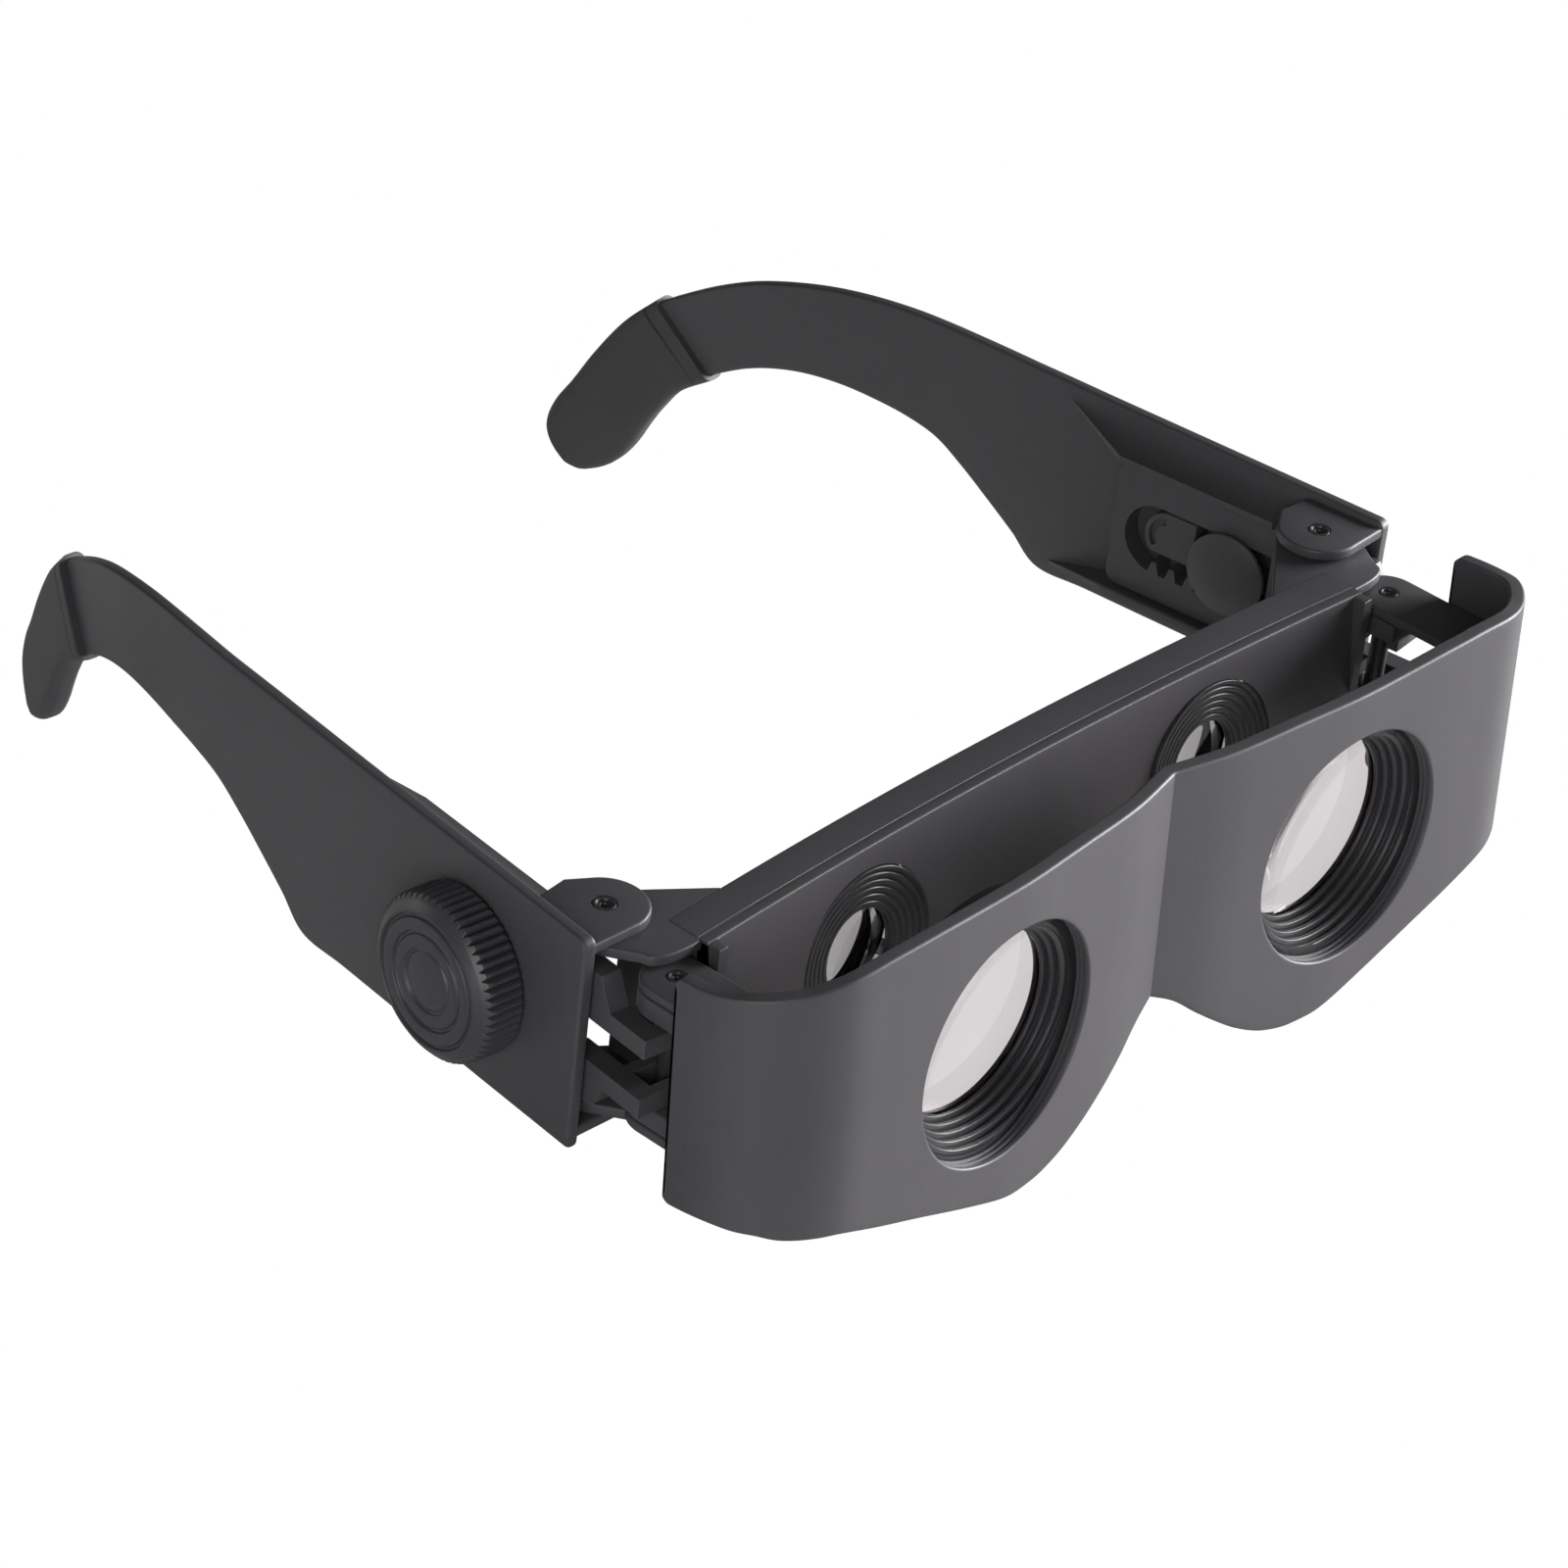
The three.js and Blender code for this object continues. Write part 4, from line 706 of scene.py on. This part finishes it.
# Eyepieces: stepped rings that sink towards a small dark-edged lens
onRearWall = (22.397, rear["lean"])
eyepiece = {"outer": 11.4, "hole": 5.6, "ridges": 6, "ridge": 0.4, "drop": 0.18, "valley": 0.3,
            "slope": 0.06, "sink": 2.2, "seat": 7.0, "collar": 8.4, "back": 3.0, "end": 6.4,
            "edge": 0.12, "steps": 144}
rearLens = {"radius": 6.7, "front": 2.5, "edge": 2.0, "frontRise": 0.85, "backRise": -0.85}
rearRing = {"inner": 5.6, "outer": 6.7, "front": 4.8, "back": 5.4}


# Ridges with valleys between them, each a little deeper than the one outside it.
def eyepieceRing(hand):
    outer, hole, seat, collar = (eyepiece[k] for k in ("outer", "hole", "seat", "collar"))
    sink, back, end, slope = (eyepiece[k] for k in ("sink", "back", "end", "slope"))
    pitch = (outer - hole) / eyepiece["ridges"]
    line = [[outer, back]]
    for i in range(eyepiece["ridges"]):
        r, y = outer - pitch * i, eyepiece["drop"] * i
        crest, valley = r - eyepiece["ridge"], y + eyepiece["valley"]
        line += [[r, y], [crest, y], [crest - slope, valley], [r - pitch + slope, valley]]
    line += [[hole, sink], [seat, sink], [seat, end], [collar, end], [collar, back], [outer, back]]
    grid = onLensAxis(rounded(line, eyepiece["edge"]), eyepiece["steps"], *onRearWall)
    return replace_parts(make("eyepieceRing", hand, grid, "rear", "gloss"), f"eyepiece_ring_{hand}")


for hand in sides:
    eyepieceRing(hand)
    small = lensPiece("rearLens", hand, "rear", rearLens, onRearWall, "eyepiece_lens")
    # The rear lens takes the grey tint: painted shade of the dark bore behind it
    small.data.materials[0] = shadeTintedLens
    ringPiece("rearLensRing", hand, "rear", rearRing, onRearWall, "eyepiece_retainer")
print("eyepieces made")


# Pins: short rods whose visible ends have a ring and a dimple, as shares of the radius
pin = {"radius": 1.4, "ring": [0.72, 0.66], "dimple": [0.4, 0.34], "ringDepth": 0.3, "dimpleDepth": 0.55,
       "edge": 0.1, "steps": 48}


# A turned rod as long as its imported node. A lower one is upside down.
def pinRod(word, hand, body, nodeName, radius, x, y):
    boxLow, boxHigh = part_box(nodeName)
    base, top = boxLow.z * mm - place[2], boxHigh.z * mm - place[2]
    step, deep = top - pin["ringDepth"], top - pin["dimpleDepth"]
    ring, sunk, dimple, floor = (radius * share for share in pin["ring"] + pin["dimple"])
    profile = [[0, base], [radius, base], [radius, top], [ring, top], [sunk, step], [dimple, step],
               [floor, deep], [0, deep]]
    if word.endswith("Lower"):
        profile = [[r, base + top - z] for r, z in profile][::-1]
    grid = turned(rounded(profile, pin["edge"]), (x, y, 0), pin["steps"], axis="z")
    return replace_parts(make(word, hand, grid, body, "pin"), nodeName)


for hand in sides:
    pinRod("armPost", hand, "front", f"arm_post_{hand}", arm["post"], arm["x"], arm["end"])
    for word in layers:
        nodeName = f"hinge_pin_{word.lower()}_{hand}"
        pinRod("hingePin" + word, hand, "rear", nodeName, pin["radius"], hinge["x"], hinge["y"])
print("pins made")


# Temples: flat side arms that curl in and down behind the ear
temple = {"outer": 7.7, "thick": 1.8, "edge": 0.45, "reach": 103.0, "height": 28.8, "base": -11.75,
          "nose": 5.9, "noseRound": 1.2, "noseTop": 0.998, "noseEdge": 0.4, "noseThin": 0.4,
          "curlFrom": 60.0, "curlTo": 118.0, "curl": 12.0, "curlPower": 1.84,
          "perRow": 12, "edgeSteps": 5, "faceSteps": 11}
# Matching points of the top and bottom edges, as shares of the reach and the height
templeRows = [
    [0.097, 1.005, 0.097, 0.002], [0.243, 1.012, 0.243, 0.007], [0.35, 1.017, 0.35, 0.012],
    [0.425, 1.022, 0.426, 0.014], [0.468, 1.024, 0.47, 0.135], [0.515, 1.028, 0.515, 0.25],
    [0.563, 1.03, 0.558, 0.355], [0.612, 1.031, 0.602, 0.445], [0.66, 1.03, 0.65, 0.49],
    [0.718, 1.019, 0.704, 0.515], [0.777, 0.995, 0.752, 0.526], [0.835, 0.953, 0.801, 0.519],
    [0.888, 0.898, 0.845, 0.491], [0.937, 0.821, 0.883, 0.446], [0.981, 0.731, 0.917, 0.384],
    [1.007, 0.671, 0.93, 0.353],
]
sleeveRows = [
    [1.01, 0.687, 0.926, 0.337], [1.052, 0.524, 0.97, 0.225], [1.085, 0.335, 0.996, 0.09],
    [1.11, 0.16, 1.012, -0.02], [1.13, 0.03, 1.024, -0.115], [1.139, -0.085, 1.037, -0.195],
    [1.134, -0.18, 1.053, -0.26], [1.118, -0.262, 1.074, -0.303], [1.103, -0.297, 1.09, -0.309],
]
# The sleeve's places are counted in rows
sleeve = {"thick": 4.2, "edge": 1.5, "mouthTo": 0.12, "mouth": 0.06, "afterMouth": 0.05,
          "grooveAt": 0.33, "groove": 0.16, "grooveWidth": 0.022, "near": 0.04, "clear": 0.06,
          "tipFrom": 7, "tip": 0.42}


# How far the tail has curled inwards: the share of the way, to a power.
def curl(along):
    share = np.clip(along - temple["curlFrom"], 0, None) / (temple["curlTo"] - temple["curlFrom"])
    return temple["curl"] * share ** temple["curlPower"]


# The smooth line through two columns, at places counted in rows.
def edgeLine(rows, first, places):
    fine = 40
    columns = np.array(rows)[:, first:first + 2]
    dense = spline(columns * [temple["reach"], temple["height"]] + [0, temple["base"]], fine, 0)
    return np.column_stack([np.interp(places * fine, np.arange(len(dense)), dense[:, k]) for k in (0, 1)])


# Both edge lines carried on to the front end, where the top one turns down in a quarter circle.
def withNose(top, bottom):
    a = quarter(8)[:, None]
    radius, base = temple["noseRound"], temple["base"]
    along = radius * (1 - np.cos(a)) - temple["nose"]
    noseTop = np.hstack([along, base + temple["noseTop"] * temple["height"] - radius * (1 - np.sin(a))])
    noseBottom = np.hstack([along, base + 0 * along])
    share = np.linspace(0, 1, 12, endpoint=False)[1:, None]
    return [np.vstack([nose, nose[-1] + share * (line[0] - nose[-1]), line])
            for nose, line in ((noseTop, top), (noseBottom, bottom))]


# The rings with their thickness scaled about their middle.
def thinned(rings, factor):
    middle = (rings[..., 0].min(1) + rings[..., 0].max(1))[:, None] / 2
    out = middle + (rings[..., 0] - middle) * factor[:, None]
    return np.stack([out, rings[..., 1], rings[..., 2]], -1)


# One less the drop of a quarter circle, which reaches the amount where past is 1.
def roundedOff(past, amount):
    return 1 - amount * (1 - np.sqrt(1 - past**2))


# Rings of a blade between two edge lines, with quarter circles on its four long edges, as distances
# up from the bottom edge and depths behind the outer face.
def blade(top, bottom, outer, thick, edge):
    rise = top - bottom
    width = np.linalg.norm(rise, axis=1, keepdims=True)
    rise /= width
    e = np.minimum(edge, width / 3)
    a = quarter(temple["edgeSteps"])[None, :]
    b = a[:, ::-1]
    face = e + np.linspace(0, 1, temple["faceSteps"] + 1)[None, 1:-1] * (width - 2 * e)
    up = np.hstack([e * (1 - np.sin(a)), e * (1 - np.sin(b)), face,
                    width - e * (1 - np.sin(a)), width - e * (1 - np.sin(b)), face[:, ::-1]])
    depth = np.hstack([e * (1 - np.cos(a)), thick - e * (1 - np.cos(b)), thick + 0 * face,
                       thick - e * (1 - np.cos(a)), e * (1 - np.cos(b)), 0 * face])
    along = bottom[:, :1] + rise[:, :1] * up
    height = np.maximum(bottom[:, 1:] + rise[:, 1:] * up, -shell["lobe"])
    return np.stack([outer - depth - curl(along), along, height], -1)


# The soft sleeve: a rounded mouth, a fine groove as a bell curve, and a tip that thins out.
def sleeveRings():
    groove, mouthTo, tipFrom = sleeve["grooveAt"], sleeve["mouthTo"], sleeve["tipFrom"]
    near, clear = sleeve["near"], sleeve["clear"]
    spans = [(0, mouthTo, 7), (mouthTo + sleeve["afterMouth"], groove - clear, 4),
             (groove - near, groove + near, 9), (groove + clear, tipFrom, 90)]
    tipPlaces = np.linspace(tipFrom, tipFrom + 1, 14)[1:]
    places = np.concatenate([*(np.linspace(*span) for span in spans), tipPlaces])
    outer = temple["outer"] + (sleeve["thick"] - temple["thick"]) / 2
    top, bottom = edgeLine(sleeveRows, 0, places), edgeLine(sleeveRows, 2, places)
    rings = blade(top, bottom, outer, sleeve["thick"], sleeve["edge"])
    mouth = roundedOff(np.clip(1 - places / mouthTo, 0, 1), sleeve["mouth"])
    dent = 1 - sleeve["groove"] * np.exp(-((places - groove) / sleeve["grooveWidth"]) ** 2)
    tip = roundedOff(np.clip(places - tipFrom, 0, 1), sleeve["tip"])
    return thinned(rings, mouth * dent * tip)


# A temple's blade, whose front end thins along a quarter circle.
def templeBlade(hand):
    last = len(templeRows) - 1
    places = np.linspace(0, last, temple["perRow"] * last + 1)
    top, bottom = withNose(edgeLine(templeRows, 0, places), edgeLine(templeRows, 2, places))
    rings = blade(top, bottom, temple["outer"], temple["thick"], temple["edge"])
    past = np.clip(1 - (rings[:, 0, 1] + temple["nose"]) / temple["noseEdge"], 0, 1)
    grid, body = inTemple(thinned(rings, roundedOff(past, temple["noseThin"]))), f"temple_{hand}"
    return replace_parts(make("templeBlade", hand, grid, body, "shell", True, sharp=30), f"temple_{hand}")


innerFace = temple["outer"] - temple["thick"]  # of a temple, in its own frame
ear = {"overlap": 0.2, "front": -5.8, "back": 5.2, "corner": [0.8, 6.4], "radius": 5.4, "arc": [0.622, 1.5],
       "edge": 0.4}


# A flat plate from the temple's inner face round the hinge pin.
def hingeEar(hand, word, level):
    root = innerFace + ear["overlap"]
    outline = np.vstack([[[root, ear["front"]], [root, ear["back"]], ear["corner"]],
                         arc(0, 0, ear["radius"], *ear["arc"], 36)])
    bottom, top = sorted(layerHeight(k, level) for k in ("ear", "earInner"))
    grid = inTemple(slab(outline, bottom, top, ear["edge"]))
    return drilled(make("hingeEar" + word, hand, grid, f"temple_{hand}", "shell", True),
                   (sides[hand] * hinge["x"], hinge["y"], hinge["hole"], "z"))


flange = {"above": 9.7, "below": 9.0, "rootStart": 5.6, "lipStart": 7.4, "taper": 31.0, "end": 42.0,
          "reach": 4.7, "lip": 1.1, "lipEdge": 0.2, "knee": [-1.3, 1.5], "rise": 3.8, "overlap": 0.1,
          "tipLow": 3.0, "tipHigh": 3.8, "flat": 0.02}


# A hollow cove from the slide plate up to the temple's edge. Its front end is slanted, and its rear
# shrinks into the temple.
def channelFlange(hand, word, level):
    reach, tipLow = flange["reach"], flange["tipLow"]
    base = hinge["middle"] + (flange["above"] if level > 0 else -flange["below"])
    root, lipEdge = flange["overlap"], flange["lipEdge"]
    cove = bend([-reach, flange["lip"]], flange["knee"], [root, flange["rise"]], 13)
    line = np.vstack([[[root, 0.0], [lipEdge - reach, 0.0], [-reach, lipEdge]], cove])
    out, up = line[:, 0], line[:, 1]
    tip = np.column_stack([np.where(out < 0, out * flange["flat"], out),
                           tipLow + up / flange["rise"] * (flange["tipHigh"] - tipLow)])
    slant = flange["rootStart"] - out / reach * (flange["lipStart"] - flange["rootStart"])
    whole, taper = np.linspace(0, 1, 12), np.linspace(0, 1, 16)[1:]
    shrinkFrom, end = flange["taper"], flange["end"]
    along = np.concatenate([whole[:, None] * (shrinkFrom - slant) + slant,
                            shrinkFrom + (end - shrinkFrom) * taper[:, None] + 0 * slant])
    section = line + np.concatenate([0 * whole, taper])[:, None, None] * (tip - line)
    grid = np.stack([innerFace + section[..., 0], along, base + level * section[..., 1]], -1)
    return make("channelFlange" + word, hand, inTemple(grid), f"temple_{hand}", "shell", True, sharp=38)


guide = {"along": 22.9, "raise": 1.0, "radius": 3.6, "foot": 2.7, "front": 18.9, "inner": 2.6,
         "overlap": 0.1, "edge": 0.2, "groove": 0.7, "grooveInner": 1.9, "grooveOuter": 2.9,
         "grooveArc": [-0.22, 0.42], "grooveEdge": 0.02, "overrun": 1.0}


# The fixed guide in the slot: a block with a round rear end and a curved groove in its face.
def guideBlock(hand):
    z, s, inner = hinge["middle"] + guide["raise"], guide["along"], guide["inner"]
    start, end = guide["grooveArc"]
    foot = -math.asin(guide["foot"] / guide["radius"]) / math.pi
    outline = np.vstack([[[guide["front"], z - guide["foot"]]], arc(s, z, guide["radius"], foot, 0.5, 30),
                         [[guide["front"], z + guide["radius"]]]])
    grid = inTemple(sidewaysSlab(outline, inner, innerFace + guide["overlap"], guide["edge"]))
    block = make("guideBlock", hand, grid, f"temple_{hand}", "shell", True)
    curved = np.vstack([arc(s, z, guide["grooveOuter"], start, end, 24),
                        arc(s, z, guide["grooveInner"], end, start, 20)])
    grid = inTemple(sidewaysSlab(curved, inner - guide["overrun"], inner + guide["groove"],
                                 guide["grooveEdge"]))
    mesh = skin("grooveTool", [(grid, True, True, True)], mirror=hand == "right")
    return carved(block, [linked("grooveTool", mesh)])


for hand in sides:
    templeBlade(hand)
    for word, level in layers.items():
        hingeEar(hand, word, level)
        channelFlange(hand, word, level)
    guideBlock(hand)
    soft = make("earSleeve", hand, inTemple(sleeveRings()), f"temple_{hand}", "sleeve", True, sharp=50)
    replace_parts(soft, f"ear_sleeve_{hand}")
print("temples made")


# Focus wheels: ribbed round their sides, with rings turned into the face
shaft = (0, hinge["knob"], hinge["middle"])  # where the knob's axis crosses the temple
wheel = {"radius": 10.6, "base": 8.0, "height": 6.2, "face": 8.7, "chamfer": 1.7, "ribs": 56, "rib": 0.7,
         "ribFrom": 9.6, "perRib": 12, "baseChamfer": 0.4, "bore": 3.0, "edge": 0.14,
         "ringWidth": 0.34, "ringDepth": 0.5, "sideFrom": 0.5, "sideTo": 0.6, "shoulder": 0.3}
# Each ring's radius, and how far the face is sunk inside and outside it
wheelRings = [[3.9, 0.25, 0.12], [6.0, 0.12, 0.0], [8.1, 0.0, 0.0]]
# Points of the chamfer, as radius and depth below the face
wheelChamfer = [[9.7, 0.7], [9.85, 0.85], [10.4, 1.4]]


# A turned wheel with ribs: its radius falls by the rib's depth times one less the size of a cosine.
def focusWheel(hand):
    base, radius, w = wheel["base"], wheel["radius"], wheel["ringWidth"]
    face = base + wheel["height"]
    edge, floor = face - wheel["chamfer"], face - wheel["ringDepth"]
    line = [[0, face - wheelRings[0][1]]]
    for r, inside, outside in wheelRings:
        line += [[r - w, face - inside], [r - w / 2, floor], [r + w / 2, floor], [r + w, face - outside]]
    first, middle, last = ([r, face - depth] for r, depth in wheelChamfer)
    line += [[wheel["face"], face], first, *np.linspace(middle, last, 8),
             [radius, edge - wheel["shoulder"]]]
    line += [[radius, z] for z in np.linspace(edge - wheel["sideTo"], base + wheel["sideFrom"], 8)]
    line += [[radius - wheel["baseChamfer"], base], [wheel["bore"], base], [0, base]]

    def ribbed(r, angle):
        crest = np.abs(np.cos(wheel["ribs"] * angle / 2))
        return np.where(r > wheel["ribFrom"], np.minimum(r, radius - wheel["rib"] * (1 - crest)), r)

    grid = turned(rounded(line, wheel["edge"]), shaft, wheel["ribs"] * wheel["perRib"], ribbed, "out")
    piece = make("focusWheel", hand, inTemple(grid), f"knob_{hand}", "knob", sharp=75)
    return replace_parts(piece, f"focus_knob_{hand}")


cap = {"radius": 5.8, "top": 0.8, "dome": 0.9, "power": 2.4, "back": 2.3, "hub": 2.6, "edge": 0.15,
       "steps": 96}


# The domed cap over the pinion: it falls by a power of the share of its radius.
def gearCap(hand):
    share, radius, back = np.linspace(0, 1, 20), cap["radius"], cap["back"]
    dome = np.column_stack([radius * share, cap["top"] + cap["dome"] * share ** cap["power"]])
    line = np.vstack([dome, [[radius, back], [cap["hub"], back], [0, back]]])
    grid = turned(rounded(line, cap["edge"]), shaft, cap["steps"], axis="out")
    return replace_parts(make("gearCap", hand, inTemple(grid), f"knob_{hand}", "shell"), f"pinion_cap_{hand}")


softEdge = {"plate": 0.16, "gear": 0.1}
for hand in sides:
    focusWheel(hand)
    gearCap(hand)
    softened("slidePlate", hand, f"rack_slider_{hand}", f"rack_{hand}", "shell", softEdge["plate"])
    softened("pinionGear", hand, f"pinion_{hand}", f"knob_{hand}", "gloss", softEdge["gear"])
print("wheels and racks made")


# Whether a ray comes from the camera, straight on or through glass: the larger of two numbers.
def seenRays(tree):
    rays = node(tree, "LightPath", {})
    return node(tree, "Math", {0: rays.outputs["Is Camera Ray"], 1: rays.outputs["Is Transmission Ray"]},
                operation="MAXIMUM").outputs[0]


# Floor of pale studio paper, which the camera sees as plain white
studio = {"floor": 6.0, "drop": 0.0002, "paper": "#e7e7e7", "white": "#ffffff", "seen": 1.0, "sky": 0.055}
paper, tree = emptyMaterial("studioPaper")
matt = node(tree, "BsdfDiffuse", {"Color": linear(studio["paper"])})
white = node(tree, "Emission", {"Color": linear(studio["white"]), "Strength": studio["seen"]})
mixed = node(tree, "MixShader", {0: seenRays(tree), 1: matt.outputs[0], 2: white.outputs[0]})
node(tree, "OutputMaterial", {"Surface": mixed.outputs[0]})
bpy.ops.mesh.primitive_plane_add(size=studio["floor"], location=(0, 0, -studio["drop"]))
floor = bpy.context.active_object
floor.name = "floor"
floor.data.materials.append(paper)

# The sky lights the part weakly, and the camera sees it white
world = bpy.data.worlds.new("studio")
world.use_nodes = True
bpy.context.scene.world = world
tree = world.node_tree
strength = node(tree, "MapRange", {
    "Value": seenRays(tree), "To Min": studio["sky"], "To Max": studio["seen"]})
backdrop = tree.nodes["Background"]
backdrop.inputs["Color"].default_value = linear(studio["white"])
tree.links.new(strength.outputs["Result"], backdrop.inputs["Strength"])

# Square lamps that face the part, in metres and watts
lamps = {
    "keyRight": {"at": (1.2, -0.57, 0.23), "size": 0.8, "power": 55.0},
    "fillLeft": {"at": (-0.95, -0.55, 0.35), "size": 0.8, "power": 6.0},
    "lowBack": {"at": (-0.5, 1.1, 0.12), "size": 0.6, "power": 1.2},
}
for name, lamp in lamps.items():
    light = bpy.data.lights.new(name, "AREA")
    light.shape, light.size, light.energy = "SQUARE", lamp["size"], lamp["power"]
    at = Vector(lamp["at"])
    aim = Matrix.Translation(at) @ (-at).to_track_quat("-Z", "Y").to_matrix().to_4x4()
    linked(name, light).matrix_world = aim

# The photograph's camera: its place in metres from the shapes' origin, and its lens in millimetres
camera = {"at": (-0.4960, -0.3369, 0.4065), "lens": 139.81, "film": 36.0, "shift": (0.000875, -0.0035),
          "right": (0.67390, -0.73232, 0.09771), "up": (0.34876, 0.43191, 0.83176),
          "back": (-0.65132, -0.52645, 0.54647)}
view = bpy.data.cameras.new("photoView")
view.lens, view.sensor_width = camera["lens"], camera["film"]
view.shift_x, view.shift_y = camera["shift"]
viewer = linked("photoView", view)
axes = np.array([camera["right"], camera["up"], camera["back"]]).T
at = np.array(camera["at"]) + place / mm
viewer.matrix_world = Matrix([[*axes[k], at[k]] for k in range(3)] + [[0, 0, 0, 1]])
bpy.context.scene.camera = viewer
bpy.context.scene.view_settings.view_transform = "Standard"
print("light and camera set")
